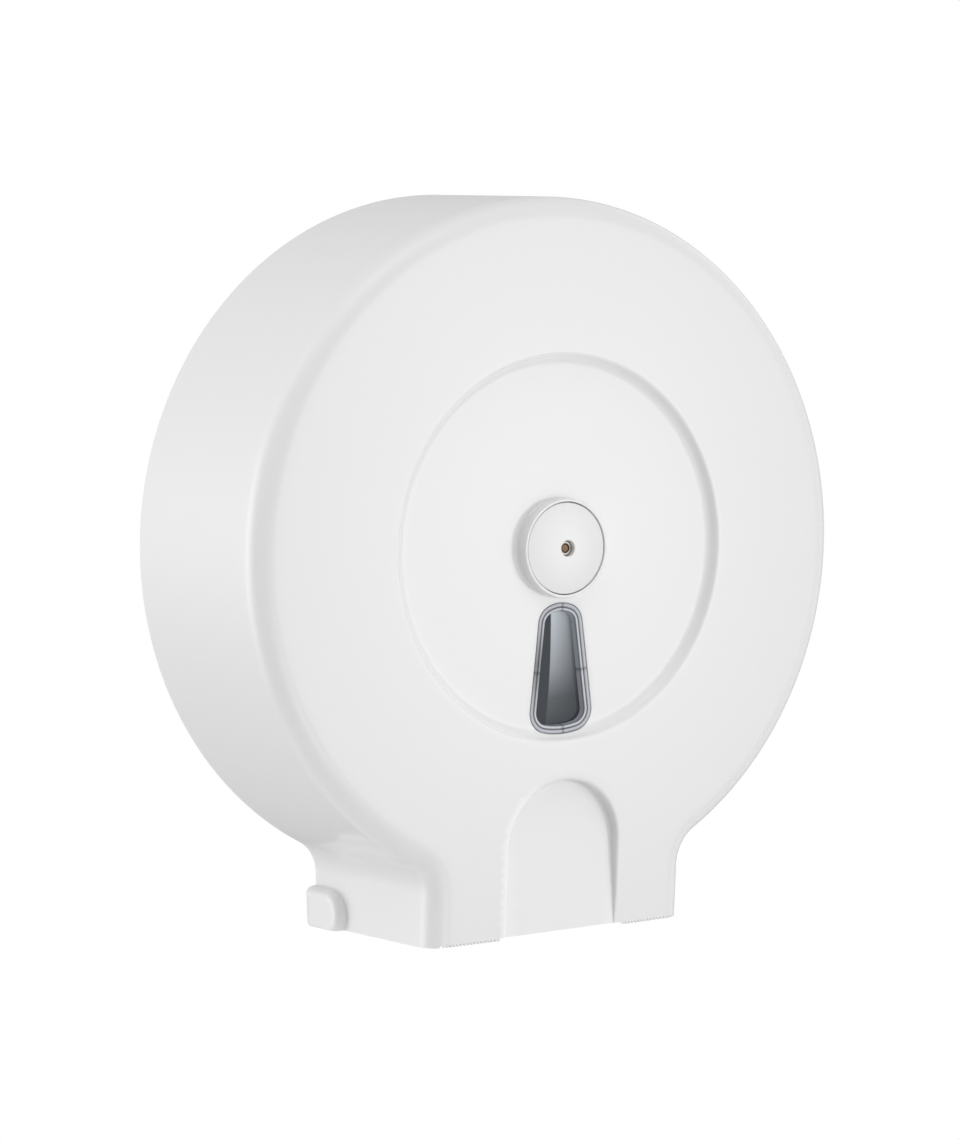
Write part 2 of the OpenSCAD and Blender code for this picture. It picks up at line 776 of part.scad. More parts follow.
module core_adapter() {
    a = hub_back + hub_flange_t;
    b = hub_front - 4;
    inner = hub_r + seat_gap;
    color(grey) {
        ring(adapter_r, adapter_r - adapter_wall, a, b);
        ring(inner + adapter_wall, inner, a, b);
        deep(a, b) for (i = [0:adapter_webs - 1]) rotate(360 / adapter_webs * (i + 0.5))
            translate([inner + adapter_wall / 2, -adapter_wall / 2])
                square([adapter_r - inner - adapter_wall, adapter_wall]);
    }
}

back_plate();
spindle_post();
spindle_screws();
brake_washer();
lock_strike();
strike_screw();
hinge_pins();
roll_hub();
hub_bush_rear();
hub_bush_front();
core_adapter();
front_cover();
inspection_window();
window_clips();
lock_collar();
lock_nut();
lock_cap();
key_post();
key_sleeve();
rotor_clip();
lock_bolt();
bolt_screw();
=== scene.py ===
# %% [markdown]
# # Jumbo toilet roll dispenser
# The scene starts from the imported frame: every CAD node stands in its place, in metres.
# The origin is on the spindle axis at the wall, the front faces -Y and +Z is up.
# Finer surfaces are then laid over the pieces that are seen most, and every piece gets the
# material that it is made of. The order is: materials, cover, hinge bosses, lock, window,
# and last the stage, the light and the camera.

import json

import bpy
import numpy as np
from mathutils import Matrix
from mathutils.geometry import delaunay_2d_cdt


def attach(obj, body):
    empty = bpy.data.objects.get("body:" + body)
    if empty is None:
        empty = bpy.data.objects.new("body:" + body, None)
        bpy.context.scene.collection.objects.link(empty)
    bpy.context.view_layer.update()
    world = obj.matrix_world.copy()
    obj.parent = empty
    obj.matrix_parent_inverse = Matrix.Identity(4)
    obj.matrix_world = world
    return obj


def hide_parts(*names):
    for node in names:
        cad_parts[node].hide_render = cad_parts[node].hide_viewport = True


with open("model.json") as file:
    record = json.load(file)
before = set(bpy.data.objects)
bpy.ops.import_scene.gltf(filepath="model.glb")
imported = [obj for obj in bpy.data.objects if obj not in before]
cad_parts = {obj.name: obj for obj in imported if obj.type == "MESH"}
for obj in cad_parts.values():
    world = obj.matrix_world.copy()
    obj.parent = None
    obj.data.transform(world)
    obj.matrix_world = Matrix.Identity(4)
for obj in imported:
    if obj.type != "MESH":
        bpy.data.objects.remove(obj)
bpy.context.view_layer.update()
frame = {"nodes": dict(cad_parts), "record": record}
MM = 0.001

# %% [markdown]
# The casing is a drum with a foot, and its front is a very shallow dome. Such a dome is part
# of a large sphere, whose radius follows from the drum's radius and the dome's rise. The
# neck between drum and foot is a hollow arc, and the place of its centre follows from the
# arc's touching both. These few sizes are in millimetres, and depths are measured from the
# wall. A size that only one piece needs comes with that piece.

# %% Sizes of the casing, in millimetres
DRUM_R = 172.5
DEPTH = 120.0
DOME_RISE = 9.3
WALL = 3.0
EDGE_R = 12.0
CORNER_R = 3.0
WALL_GAP = 1.5
FOOT_X = 76.0
FOOT_Z = -193.0
NECK_R = 18.0

DOME_R = (DRUM_R**2 + DOME_RISE**2) / (2 * DOME_RISE)
DOME_C = DEPTH - DOME_R
NECK_X = FOOT_X + NECK_R
NECK_Z = -np.sqrt((DRUM_R + NECK_R) ** 2 - NECK_X**2)
print("dome radius", round(DOME_R, 1), "mm, neck centre", NECK_X, round(NECK_Z, 2))

# %% [markdown]
# Blender keeps a mesh as lists of points and faces. The helpers below fill those lists from
# whole numpy arrays, which is much faster than adding points one by one. A surface that is
# a grid of points becomes quads between neighbours, and each quad becomes two triangles.
# Shading is smooth except where two faces meet at a clear angle.

# %% From a grid of points to a mesh
SMOOTH_ANGLE = np.radians(32)


def grid_faces(rows, cols, closed=False):
    """Quads of a grid of points: each joins a point to its neighbours along and across."""
    i, j = np.meshgrid(np.arange(rows - 1), np.arange(cols if closed else cols - 1), indexing="ij")
    k = (j + 1) % cols
    quads = np.stack([i * cols + j, i * cols + k, (i + 1) * cols + k, (i + 1) * cols + j], -1)
    return quads.reshape(-1, 4)


def triangles(faces):
    """Splits quads along one diagonal."""
    faces = np.asarray(faces)
    if faces.shape[1] == 3:
        return faces
    return np.vstack([faces[:, [0, 1, 2]], faces[:, [0, 2, 3]]])


def make_object(name, points_mm, faces, material=None, body=None, sharp=SMOOTH_ANGLE):
    """An object at the origin whose mesh has these points, in millimetres, and faces."""
    points = np.asarray(points_mm, float).reshape(-1, 3) * MM
    faces = np.asarray(faces, np.int32)
    sides = faces.shape[1]
    mesh = bpy.data.meshes.new(name)
    mesh.vertices.add(len(points))
    mesh.vertices.foreach_set("co", points.ravel())
    mesh.loops.add(faces.size)
    mesh.loops.foreach_set("vertex_index", faces.ravel())
    mesh.polygons.add(len(faces))
    mesh.polygons.foreach_set("loop_start", np.arange(0, faces.size, sides, dtype=np.int32))
    mesh.update(calc_edges=True)
    mesh.validate()
    mesh.polygons.foreach_set("use_smooth", np.ones(len(mesh.polygons), bool))
    mesh.set_sharp_from_angle(angle=sharp)
    obj = bpy.data.objects.new(name, mesh)
    bpy.context.scene.collection.objects.link(obj)
    if material:
        mesh.materials.append(material)
    if body:
        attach(obj, body)
    return obj


print("smooth shading up to", round(np.degrees(SMOOTH_ANGLE)), "degrees between faces")

# %% [markdown]
# ## Materials
# Blender's Principled shader can stand for nearly any surface, from felt to brass. One
# helper makes a material and sets its sockets, so that each finish below is a short call.

# %% A material with its node tree
def new_material(name, colour, roughness, metallic=0.0, **more):
    """A Principled material; returns it with its tree and its shader node."""
    mat = bpy.data.materials.new(name)
    mat.use_nodes = True
    tree = mat.node_tree
    shader = next(n for n in tree.nodes if n.type == "BSDF_PRINCIPLED")
    shader.inputs["Base Color"].default_value = (*colour, 1)
    shader.inputs["Roughness"].default_value = roughness
    shader.inputs["Metallic"].default_value = metallic
    for key, value in more.items():
        shader.inputs[key.replace("_", " ")].default_value = value
    return mat, tree, shader


print("sockets are set by name, such as Roughness or IOR")

# %% [markdown]
# A real surface is never quite even. Moulded plastic is slightly wavy, like orange peel, and
# its gloss changes slowly from place to place. Metal shows fine marks along the way it was
# worked. A noise texture gives both. It is read in object coordinates, so the pattern stays
# in place on the part in every view and pose, and no image has to be laid out.

# %% Noise, bump and uneven gloss
NOISE_LOW, NOISE_HIGH = 0.3, 0.7


def add_noise(tree, scale, detail=2.0, stretch=(1, 1, 1)):
    """Noise in object coordinates, with the pattern stretched along the axes."""
    place = tree.nodes.new("ShaderNodeTexCoord")
    turn = tree.nodes.new("ShaderNodeMapping")
    turn.inputs["Scale"].default_value = stretch
    noise = tree.nodes.new("ShaderNodeTexNoise")
    noise.inputs["Scale"].default_value = scale
    noise.inputs["Detail"].default_value = detail
    tree.links.new(place.outputs["Object"], turn.inputs["Vector"])
    tree.links.new(turn.outputs["Vector"], noise.inputs["Vector"])
    return noise


def add_bump(tree, shader, noise, height):
    """The noise raises the surface by up to this height, in metres."""
    bump = tree.nodes.new("ShaderNodeBump")
    bump.inputs["Strength"].default_value = 1.0
    bump.inputs["Distance"].default_value = height
    tree.links.new(noise.outputs["Fac"], bump.inputs["Height"])
    tree.links.new(bump.outputs["Normal"], shader.inputs["Normal"])


def vary(tree, shader, socket, noise, low, high):
    """The noise moves a shader value between two numbers."""
    span = tree.nodes.new("ShaderNodeMapRange")
    span.inputs["From Min"].default_value = NOISE_LOW
    span.inputs["From Max"].default_value = NOISE_HIGH
    span.inputs["To Min"].default_value = low
    span.inputs["To Max"].default_value = high
    tree.links.new(noise.outputs["Fac"], span.inputs["Value"])
    tree.links.new(span.outputs["Result"], shader.inputs[socket])


print("noise between", NOISE_LOW, "and", NOISE_HIGH, "is spread over the wanted span")

# %% [markdown]
# The casing, the inner parts and the bushes are moulded plastic, and the lock and the screws
# are metal. The two families differ in how light meets them: plastic has a clear skin over
# a colour, metal colours the reflection itself. So each family has its own recipe, and a
# piece's material is a colour and a span of roughness. Low roughness means high gloss.

# %% Plastics and metals
ABS_IOR = 1.53
GLOSS_SCALE, PEEL_SCALE, MARK_SCALE = 14, 260, 900
FINE_BUMP = 4e-6


def plastic(name, colour, low, high, bump=FINE_BUMP):
    """Moulded plastic: gloss that varies slowly, and a fine orange-peel skin."""
    mat, tree, shader = new_material(name, colour, (low + high) / 2, IOR=ABS_IOR)
    vary(tree, shader, "Roughness", add_noise(tree, GLOSS_SCALE, 3), low, high)
    add_bump(tree, shader, add_noise(tree, PEEL_SCALE, 1), bump)
    return mat


def metal(name, colour, low, high, stretch=(1, 1, 1)):
    """Worked metal: fine marks drawn out along the axis that the stretch leaves small."""
    mat, tree, shader = new_material(name, colour, (low + high) / 2, metallic=1.0)
    noise = add_noise(tree, MARK_SCALE, 3, stretch)
    vary(tree, shader, "Roughness", noise, low, high)
    add_bump(tree, shader, noise, FINE_BUMP)
    return mat


COVER_TONE = 0.84
MATERIALS = {
    "white_abs": plastic("white_abs", (COVER_TONE, COVER_TONE, COVER_TONE), 0.10, 0.16),
    "white_abs_inner": plastic("white_abs_inner", (0.76, 0.76, 0.75), 0.28, 0.31, 8e-6),
    "grey_abs": plastic("grey_abs", (0.30, 0.32, 0.34), 0.38, 0.5, 1.2e-5),
    "acetal": plastic("acetal", (0.68, 0.68, 0.63), 0.3, 0.4),
    # brass darkened for age, and partly as painted shade of the keyhole that its post stands in
    "brass": metal("brass", (0.17, 0.11, 0.07), 0.35, 0.5),
    "dark_steel": metal("dark_steel", (0.04, 0.04, 0.045), 0.35, 0.5),
    "stainless": metal("stainless", (0.50, 0.51, 0.52), 0.22, 0.38, (1, 0.06, 1)),
    "zinc_steel": metal("zinc_steel", (0.55, 0.56, 0.58), 0.25, 0.4),
}
print("plastics and metals:", len(MATERIALS))

# %% [markdown]
# The cover is one plain white. On top of that its steep steps get painted light, so that they read a
# little paler than its flats, its arch's left rim gets a painted highlight, and the floor of its arch
# gets painted shade, so that it reads a little duller. Soft light alone hardly tells them apart. The
# tone can't be painted on without an image, so it follows a number that the mesh keeps for each point. A
# mesh that has no such number reads 0, and keeps the plain tone.

# %% Painted light and shade that follow the shape
PAINTED_LIGHT_SPAN = 0.13


def store(obj, name, values):
    """Keeps one number per point of an object, for its material to read."""
    layer = obj.data.attributes.new(name, "FLOAT", "POINT")
    layer.data.foreach_set("value", np.asarray(values, np.float32))


# the base colour gets painted light where the number is above 0 and painted shade where it is below
white_tree = MATERIALS["white_abs"].node_tree
painted_light_node = white_tree.nodes.new("ShaderNodeAttribute")
painted_light_node.attribute_name = "painted_light_shade"
toned = white_tree.nodes.new("ShaderNodeMath")
toned.operation = "MULTIPLY_ADD"
toned.inputs[1].default_value = PAINTED_LIGHT_SPAN
toned.inputs[2].default_value = COVER_TONE
white_tree.links.new(painted_light_node.outputs["Fac"], toned.inputs[0])
white_shader = next(n for n in white_tree.nodes if n.type == "BSDF_PRINCIPLED")
white_tree.links.new(toned.outputs[0], white_shader.inputs["Base Color"])
print("cover tone:", COVER_TONE, "plus", PAINTED_LIGHT_SPAN, "times the lift")

# %% [markdown]
# Two finishes stand apart. The brake washer is felt, which has no gloss at all and a deep
# uneven surface. The window is smoked clear plastic, so light passes through it and takes
# on its grey. Its refraction is acrylic's, a usual plastic for such windows.

# %% Felt and smoked plastic
ACRYLIC_IOR = 1.49

felt, felt_tree, felt_shader = new_material("felt_black", (0.035, 0.035, 0.04), 0.95)
add_bump(felt_tree, felt_shader, add_noise(felt_tree, 2500, 4), 1.5e-4)
MATERIALS["felt_black"] = felt

smoked, smoked_tree, smoked_shader = new_material(
    "smoked_clear", (0.30, 0.33, 0.37), 0.03, Transmission_Weight=1.0, IOR=ACRYLIC_IOR
)
add_bump(smoked_tree, smoked_shader, add_noise(smoked_tree, 60, 1), 5e-6)
MATERIALS["smoked_clear"] = smoked
print("materials:", ", ".join(sorted(MATERIALS)))

# %% [markdown]
# Each CAD node names the material that it is made of. A node's old material is cleared
# first, so that only one slot is left, and the node's shape and place aren't touched.

# %% Dress the CAD nodes
for part in frame["record"]["subparts"]:
    node = frame["nodes"][part["node"]]
    node.data.materials.clear()
    node.data.materials.append(MATERIALS[part["material_slot"]])

# %% [markdown]
# ## The cover
# The cover is one moulded shell. Seen from the front it is a disc that runs into a foot
# through two hollow necks. It could be a box that is subdivided and pulled into shape, but
# its edge is an arc that meets a sphere, and such a shape is easier to work out than to
# push into place. The shell gets an outer skin and an inner skin with one layout of points,
# so that a strip round every opening closes the two. Its outline comes first.

# %% Outline of the casing
def front(x, z, inset=0.0):
    """Depth of the dome at a point: a sphere about the axis, made smaller by the inset."""
    return DOME_C + np.sqrt((DOME_R - inset) ** 2 - x**2 - z**2)


def casing_outline(side_n=24, neck_n=20, drum_n=420):
    """Points of the outline and their outward directions. It runs up the foot's left side,
    turns back along the neck's arc, goes round the drum by cosine and sine, and the right
    half is the left one mirrored."""
    side = np.linspace(FOOT_Z, NECK_Z, side_n, endpoint=False)
    lean = np.arctan2(-NECK_Z, NECK_X)
    neck = np.linspace(0, lean, neck_n, endpoint=False)
    drum = np.linspace(np.pi + lean, np.pi / 2, drum_n // 2 + 1)
    neck_x = -NECK_X + NECK_R * np.cos(neck)
    x = np.concatenate([np.full(side_n, -FOOT_X), neck_x, DRUM_R * np.cos(drum)])
    z = np.concatenate([side, NECK_Z + NECK_R * np.sin(neck), DRUM_R * np.sin(drum)])
    nx = np.concatenate([np.full(side_n, -1.0), -np.cos(neck), np.cos(drum)])
    nz = np.concatenate([np.zeros(side_n), -np.sin(neck), np.sin(drum)])
    left = np.stack([x, z, nx, nz], 1)
    right = left[-2::-1] * [-1, 1, -1, 1]
    both = np.vstack([left, right])
    return both[:, :2], both[:, 2:]


casing_path, casing_out = casing_outline()
print("outline:", len(casing_path), "points")

# %% [markdown]
# Small saw teeth along the front's bottom edge tear the paper. Most of them lie on the flat
# front, and the last ones run onto the rounded edge. That edge is made of rows of points, so
# it gets a row at each tip and each notch, and at a notch the row's lower end is raised.
# Cutting the teeth out with a boolean would leave long thin faces in the round.

# %% Teeth along the bottom edge
ARCH_X = 34.0
TOOTH_LAND, TOOTH_STOP = 2.5, 4.0
TOOTH_PITCH, TOOTH_H = 2.0, 1.5
EDGE_STEPS = 15
CLEAR_BEFORE, CLEAR_AFTER = 0.01, 0.02

TEETH_N = int((FOOT_X - TOOTH_STOP - ARCH_X - TOOTH_LAND) // TOOTH_PITCH)
TEETH_X = ARCH_X + TOOTH_LAND + TOOTH_PITCH / 2 * np.arange(2 * TEETH_N + 1)
TEETH_UP = TOOTH_H * (np.arange(2 * TEETH_N + 1) % 2)


def edge_rows():
    """Shares of the rounded edge's turn, and how far each row's lower end is raised. A tooth's
    share is the angle whose cosine is its distance from the arc's centre over the edge
    radius. The even steps near the teeth's own rows are left out."""
    full = np.pi / 2 - np.arcsin((FOOT_X - EDGE_R) / DOME_R)
    on_edge = TEETH_X > FOOT_X - EDGE_R + TOOTH_PITCH / 2
    teeth = np.arccos((TEETH_X[on_edge] - FOOT_X + EDGE_R) / EDGE_R) / full
    even = np.linspace(0, 1, EDGE_STEPS)
    even = even[(even < teeth.min() - CLEAR_BEFORE) | (even > teeth.max() + CLEAR_AFTER)]
    share = np.concatenate([even, teeth])
    up = np.concatenate([np.zeros(len(even)), TEETH_UP[on_edge]])
    order = np.argsort(share)
    return share[order], up[order]


print("teeth on each side:", TEETH_N, "with rows on the rounded edge:", len(edge_rows()[0]))

# %% [markdown]
# The band round the outline is the straight side wall and the rounded edge up to the dome.
# The arc of the edge touches both the wall and the sphere, so its centre lies one edge
# radius inside each. The inner skin turns about the same centre with a smaller radius,
# which keeps the plastic equally thick round the bend.

# %% Side wall and rounded edge
WALL_ROWS = [WALL_GAP, 1.7, 2.2, 3.0, 4.5, 8.0, 14.0, 24.0, 40.0, 60.0, 85.0, 95.0]


def stand(points, path, end_z):
    """Draws the foot's sides out or in: a point below the neck keeps its share of the way
    down, and the lowest one ends at the given height. Points above the neck stay."""
    way = (NECK_Z - path[:, 1]) / (NECK_Z - FOOT_Z)
    z = np.where(path[:, 1] < NECK_Z, NECK_Z + way * (end_z - NECK_Z), points[:, 1])
    return np.column_stack([points[:, 0], z])


def wall_row(path, outward, inset, y):
    """A row of the side wall at a depth. Near the rear it ends on the round of the foot's
    corner, which is a circle: height and reach obey Pythagoras."""
    reach = np.clip(WALL_GAP + CORNER_R - y, 0, CORNER_R)
    end_z = FOOT_Z + CORNER_R - np.sqrt(CORNER_R**2 - reach**2)
    flat = stand(path - inset * outward, path, end_z)
    return np.stack([flat[:, 0], np.full(len(path), y), flat[:, 1]], 1)


def edge_row(path, outward, inset, share, up):
    """A row of the rounded edge: from the arc's centre, a radius at an angle that is a share
    of the turn from the wall's direction to the sphere's."""
    centre = stand(path - EDGE_R * outward, path, FOOT_Z + up)
    root = np.sqrt(DOME_R**2 - (centre**2).sum(1))
    slope = -(centre * outward).sum(1) / root
    depth = DOME_C + root - EDGE_R * np.sqrt(1 + slope**2)
    angle = share * np.arctan2(1, -slope)
    flat = centre + ((EDGE_R - inset) * np.cos(angle))[:, None] * outward
    return np.stack([flat[:, 0], depth + (EDGE_R - inset) * np.sin(angle), flat[:, 1]], 1)


def edge_band(inset):
    """All rows of (x, depth, z) points from the rear to the dome, at an inset into the wall."""
    rows = [wall_row(casing_path, casing_out, inset, y) for y in WALL_ROWS]
    rows += [edge_row(casing_path, casing_out, inset, t, up) for t, up in zip(*edge_rows())]
    return np.array(rows)


band_out = edge_band(0.0)
band_in = edge_band(WALL)
print("edge band:", band_out.shape[0], "rows of", band_out.shape[1], "points")

# %% [markdown]
# A round disc is sunk into the dome. Its edge turns over a small radius, falls along a short
# steep wall and runs out in a wider radius. Written as depth against radius, that curve
# serves twice: its points give the rows of the edge, and it tells the depth anywhere else.

# %% The sunken disc's edge
DISC_R, DISC_DEPTH = 95.0, 5.0
DISC_LIP_R, DISC_FOOT_R = 1.9, 5.2
DISC_STEEP = np.radians(66)
LIP_ROWS = 7


def disc_profile():
    """The disc's edge as (radius, depth under the dome) from outside in: an arc that turns
    down, a short steep wall, and an arc that turns level again."""
    turn = np.linspace(0, DISC_STEEP, LIP_ROWS)
    drop = DISC_DEPTH - (DISC_LIP_R + DISC_FOOT_R) * (1 - np.cos(DISC_STEEP))
    wall = drop / np.sin(DISC_STEEP)
    lip = np.stack([DISC_LIP_R * np.sin(turn), DISC_LIP_R * (1 - np.cos(turn))], 1)
    start = lip[-1] + wall * np.array([np.cos(DISC_STEEP), np.sin(DISC_STEEP)])
    foot = start + DISC_FOOT_R * np.stack(
        [np.sin(DISC_STEEP) - np.sin(turn[::-1]), np.cos(turn[::-1]) - np.cos(DISC_STEEP)], 1
    )
    run = np.vstack([lip, foot])
    return run * [-1, 1] + [DISC_R + lip[-1, 0], 0]


DISC_EDGE = disc_profile()
DISC_START, DISC_WALL = DISC_EDGE[0, 0] - DISC_R, DISC_EDGE[LIP_ROWS - 1, 0] - DISC_R


def disc_depth(r):
    """How far the surface lies under the dome, at a radius."""
    return np.interp(r, DISC_EDGE[::-1, 0], DISC_EDGE[::-1, 1])


def sunken(points):
    """Depth of the dome with the disc sunk into it."""
    return front(*points.T) - disc_depth(np.hypot(*points.T))


print("disc edge from radius", np.round(DISC_EDGE[0, 0], 2), "to", np.round(DISC_EDGE[-1, 0], 2))

# %% [markdown]
# The arched recess in the foot is where the paper is torn off. It has two straight sides and
# a half circle on top, and a flat floor that leans back, deep at the top and almost level
# with the dome at the bottom.

# %% Outline of the arch
ARCH_H = 79.0
ARCH_TOP_Z = FOOT_Z + ARCH_H
ARCH_CENTRE_Z = ARCH_TOP_Z - ARCH_X
ARCH_DEPTH_TOP, ARCH_DEPTH_LOW = 8.6, 0.9


def arch_outline(side_n=26, top_n=60):
    """The arch from its bottom left corner over the top to the right, with directions away
    from its middle: two straight sides and a half circle."""
    side = np.linspace(FOOT_Z + TOOTH_H, ARCH_CENTRE_Z, side_n, endpoint=False)
    turn = np.linspace(np.pi, 0, top_n)
    unit = np.stack([np.cos(turn), np.sin(turn)], 1)
    left = np.stack(
        [np.full(side_n, -ARCH_X), side, np.full(side_n, -1.0), np.zeros(side_n)], 1
    )
    top = np.hstack([ARCH_X * unit + [0, ARCH_CENTRE_Z], unit])
    whole = np.vstack([left, top, left[::-1] * [-1, 1, -1, 1]])
    return whole[:, :2], whole[:, 2:]


def arch_floor(z):
    """Depth of the arch's flat floor: a straight line from its top to its bottom."""
    top = front(0, ARCH_TOP_Z) - ARCH_DEPTH_TOP
    bottom = front(0, FOOT_Z) - ARCH_DEPTH_LOW
    return top + (bottom - top) * (ARCH_TOP_Z - z) / (ARCH_TOP_Z - FOOT_Z)


arch_path, arch_out = arch_outline()
print("arch:", len(arch_path), "points")

# %% [markdown]
# The window shows how much paper is left. It tapers towards the lock, its corners are round
# and its two ends bulge a little. Every arc starts in the direction in which the line
# before it ends, which is what makes such an outline look moulded and not cut.

# %% Outline of the window
WINDOW_TOP, WINDOW_H = 27.5, 65.0
WINDOW_W_TOP, WINDOW_W_LOW = 26.0, 36.5
WINDOW_R_TOP, WINDOW_R_LOW = 9.5, 10.5
WINDOW_CROWN = 0.8
SIDE_POINTS, END_POINTS, CORNER_POINTS = 40, 14, 12


def window_end(half, z, corner_r, sign, lean):
    """Right half of the bulged top (sign +1) or bottom (-1) end. The end is an arc whose
    radius follows from its width and its crown, and the corner's arc goes on from its last
    direction to the direction in which the side leans."""
    big = (half**2 + WINDOW_CROWN**2) / (2 * WINDOW_CROWN)
    turn = np.arcsin(half / big)
    a = np.linspace(0, turn, END_POINTS)
    end = np.stack([np.sin(a), sign * np.cos(a)], 1)
    b = np.linspace(sign * (np.pi / 2 - turn), lean, CORNER_POINTS)[1:]
    corner = np.stack([np.cos(b), np.sin(b)], 1)
    middle = [0, z - sign * (big - WINDOW_CROWN)]
    bulge = np.hstack([end * (big + corner_r) + middle, end])
    return np.vstack([bulge, np.hstack([corner * corner_r + [half, z], corner])])


def window_outline():
    """The window's outline and its outward directions: both ends, joined by straight sides
    that touch the corners' arcs, and the left half mirrored from the right."""
    half_top, half_low = WINDOW_W_TOP / 2 - WINDOW_R_TOP, WINDOW_W_LOW / 2 - WINDOW_R_LOW
    z_top, z_low = -WINDOW_CROWN - WINDOW_R_TOP, WINDOW_CROWN + WINDOW_R_LOW - WINDOW_H
    run = np.array([half_top - half_low, z_top - z_low])
    lean = np.arctan2(run[1], run[0]) - np.arccos((WINDOW_R_LOW - WINDOW_R_TOP) / np.hypot(*run))
    bottom = window_end(half_low, z_low, WINDOW_R_LOW, -1, lean)
    top = window_end(half_top, z_top, WINDOW_R_TOP, 1, lean)[::-1]
    t = np.linspace(0, 1, SIDE_POINTS)[1:-1, None]
    half = np.vstack([bottom, bottom[-1] * (1 - t) + top[0] * t, top])
    whole = np.vstack([half, half[-2:0:-1] * [-1, 1, -1, 1]])
    return whole[:, :2] - [0, WINDOW_TOP], whole[:, 2:]


def window_plane(z):
    """Depth of the pane's face: a plane through the disc's floor at both ends."""
    a = front(0, WINDOW_TOP) - DISC_DEPTH
    b = front(0, WINDOW_TOP + WINDOW_H) - DISC_DEPTH
    return a + (b - a) * (-z - WINDOW_TOP) / WINDOW_H


window_path, window_out = window_outline()
print("window:", len(window_path), "points")

# %% [markdown]
# Between those lines the dome is filled with triangles. A triangulation that keeps given
# lines as edges suits this better than a grid: the fill meets every outline point for
# point, and on so flat a dome its irregular layout can't be seen in the shading. A loose
# lattice of points inside keeps the triangles even. First come tests for where points lie.

# %% Rings, and points inside or near a loop
CHUNK = 2000


def ring(radius, count):
    """A circle of points about the axis."""
    turn = np.linspace(0, 2 * np.pi, count, endpoint=False)
    return np.stack([radius * np.cos(turn), radius * np.sin(turn)], 1)


def inside(points, loop):
    """True for the points inside a closed loop, by counting the crossings of a ray."""
    a, b = loop, np.roll(loop, -1, 0)
    px, pz = points[:, :1], points[:, 1:]
    crosses = (a[:, 1] > pz) != (b[:, 1] > pz)
    with np.errstate(divide="ignore", invalid="ignore"):
        x = a[:, 0] + (pz - a[:, 1]) * (b[:, 0] - a[:, 0]) / (b[:, 1] - a[:, 1])
    return ((crosses & (px < x)).sum(1) % 2) == 1


def near(points, loop, distance):
    """True for the points nearer than a distance to some point of the loop. The points are
    taken in chunks, so that the table of all pairs stays small."""
    close = np.zeros(len(points), bool)
    for start in range(0, len(points), CHUNK):
        gap = points[start : start + CHUNK, None] - loop[None]
        close[start : start + CHUNK] = (gap**2).sum(-1).min(1) < distance**2
    return close


print("inside test at the axis:", inside(np.zeros((1, 2)), ring(DISC_R, 12))[0])

# %% [markdown]
# The lattice has rows that are shifted by half a step, as on a honeycomb, because its
# triangles then have nearly equal sides. Its points stay clear of the loops, where they
# would only make slivers.

# %% Filling a face between loops
ROW_SHARE, CLEAR_SHARE = 0.87, 0.6
INSIDE_BORDERS, TOUCHING = 1, 1e-6


def lattice_inside(loops, spacing):
    """Points of a triangular lattice inside the first loop and outside the others."""
    low, high = loops[0].min(0), loops[0].max(0)
    rows = np.arange(low[1], high[1], spacing * ROW_SHARE)
    x, z = np.meshgrid(np.arange(low[0], high[0], spacing), rows)
    x[1::2] += spacing / 2
    points = np.stack([x.ravel(), z.ravel()], 1)
    keep = inside(points, loops[0])
    for loop in loops[1:]:
        keep &= ~inside(points, loop)
    return points[keep]


def turn_of(loop):
    """1 for a loop that runs anticlockwise and -1 for the other way, by the sign of its area:
    half the sum of each side's cross product."""
    x, z = loop.T
    return int(np.sign((x * np.roll(z, -1) - np.roll(x, -1) * z).sum()))


def fill(loops, extra, spacing):
    """Triangles between the first loop and the others, with extra points and a lattice at the
    spacing. Each loop is a border, and the triangulation says for every triangle which
    borders it lies in: the wanted ones lie in the first border and in no other."""
    lattice = lattice_inside(loops, spacing)
    for loop in [*loops, *extra]:
        lattice = lattice[~near(lattice, loop, spacing * CLEAR_SHARE)]
    points = np.vstack([*loops, *extra, lattice])
    starts = np.cumsum([0] + [len(loop) for loop in loops])
    borders = [(np.arange(len(loop))[:: turn_of(loop)] + k).tolist() for loop, k in zip(loops, starts)]
    made = delaunay_2d_cdt(points.tolist(), [], borders, INSIDE_BORDERS, TOUCHING, True)
    in_first_only = np.array([borders_of_face == [0] for borders_of_face in made[5]])
    return np.array(made[0]), np.array(made[2])[in_first_only]


print("a test disc of radius 10 takes", len(fill([ring(10, 24)], [], 3.0)[1]), "triangles")

# %% [markdown]
# Every point of the outer skin also gets a place on the inner skin, a wall's thickness
# behind it. Near a recess it moves sideways too, so that the wall round the recess keeps
# its thickness, and the shift fades out with the distance from the edge.

# %% From the outer skin to the inner skin
DISC_FADE, ARCH_FADE = 12, 9


def fade(distance, reach):
    """1 at the edge of a feature, falling in a straight line to 0 at the reach."""
    return np.clip(1 - distance / reach, 0, 1)


def away_from_arch(points):
    """Distance outwards from the arch's outline and the direction of it, for each point: along
    the radius above the half circle's centre, and sideways below it."""
    above = points[:, 1] > ARCH_CENTRE_Z
    r = np.hypot(points[:, 0], points[:, 1] - ARCH_CENTRE_Z)
    away = np.where(above, r, np.abs(points[:, 0])) - ARCH_X
    safe = np.maximum(r, 1e-6)
    nx = np.where(above, points[:, 0] / safe, np.sign(points[:, 0]))
    nz = np.where(above, (points[:, 1] - ARCH_CENTRE_Z) / safe, 0)
    return away, np.stack([nx, nz], 1)


def land_inner(points):
    """Inner place of points on the dome round the disc and the arch."""
    r = np.hypot(*points.T)
    moved = points * (1 + WALL * fade(r - DISC_R, DISC_FADE) / r)[:, None]
    away, direction = away_from_arch(points)
    moved = moved + direction * (WALL * fade(away, ARCH_FADE))[:, None]
    return np.stack([moved[:, 0], front(moved[:, 0], moved[:, 1], WALL), moved[:, 1]], 1)


def disc_outer(points):
    """Outer place of points on the sunken disc."""
    return np.stack([points[:, 0], sunken(points), points[:, 1]], 1)


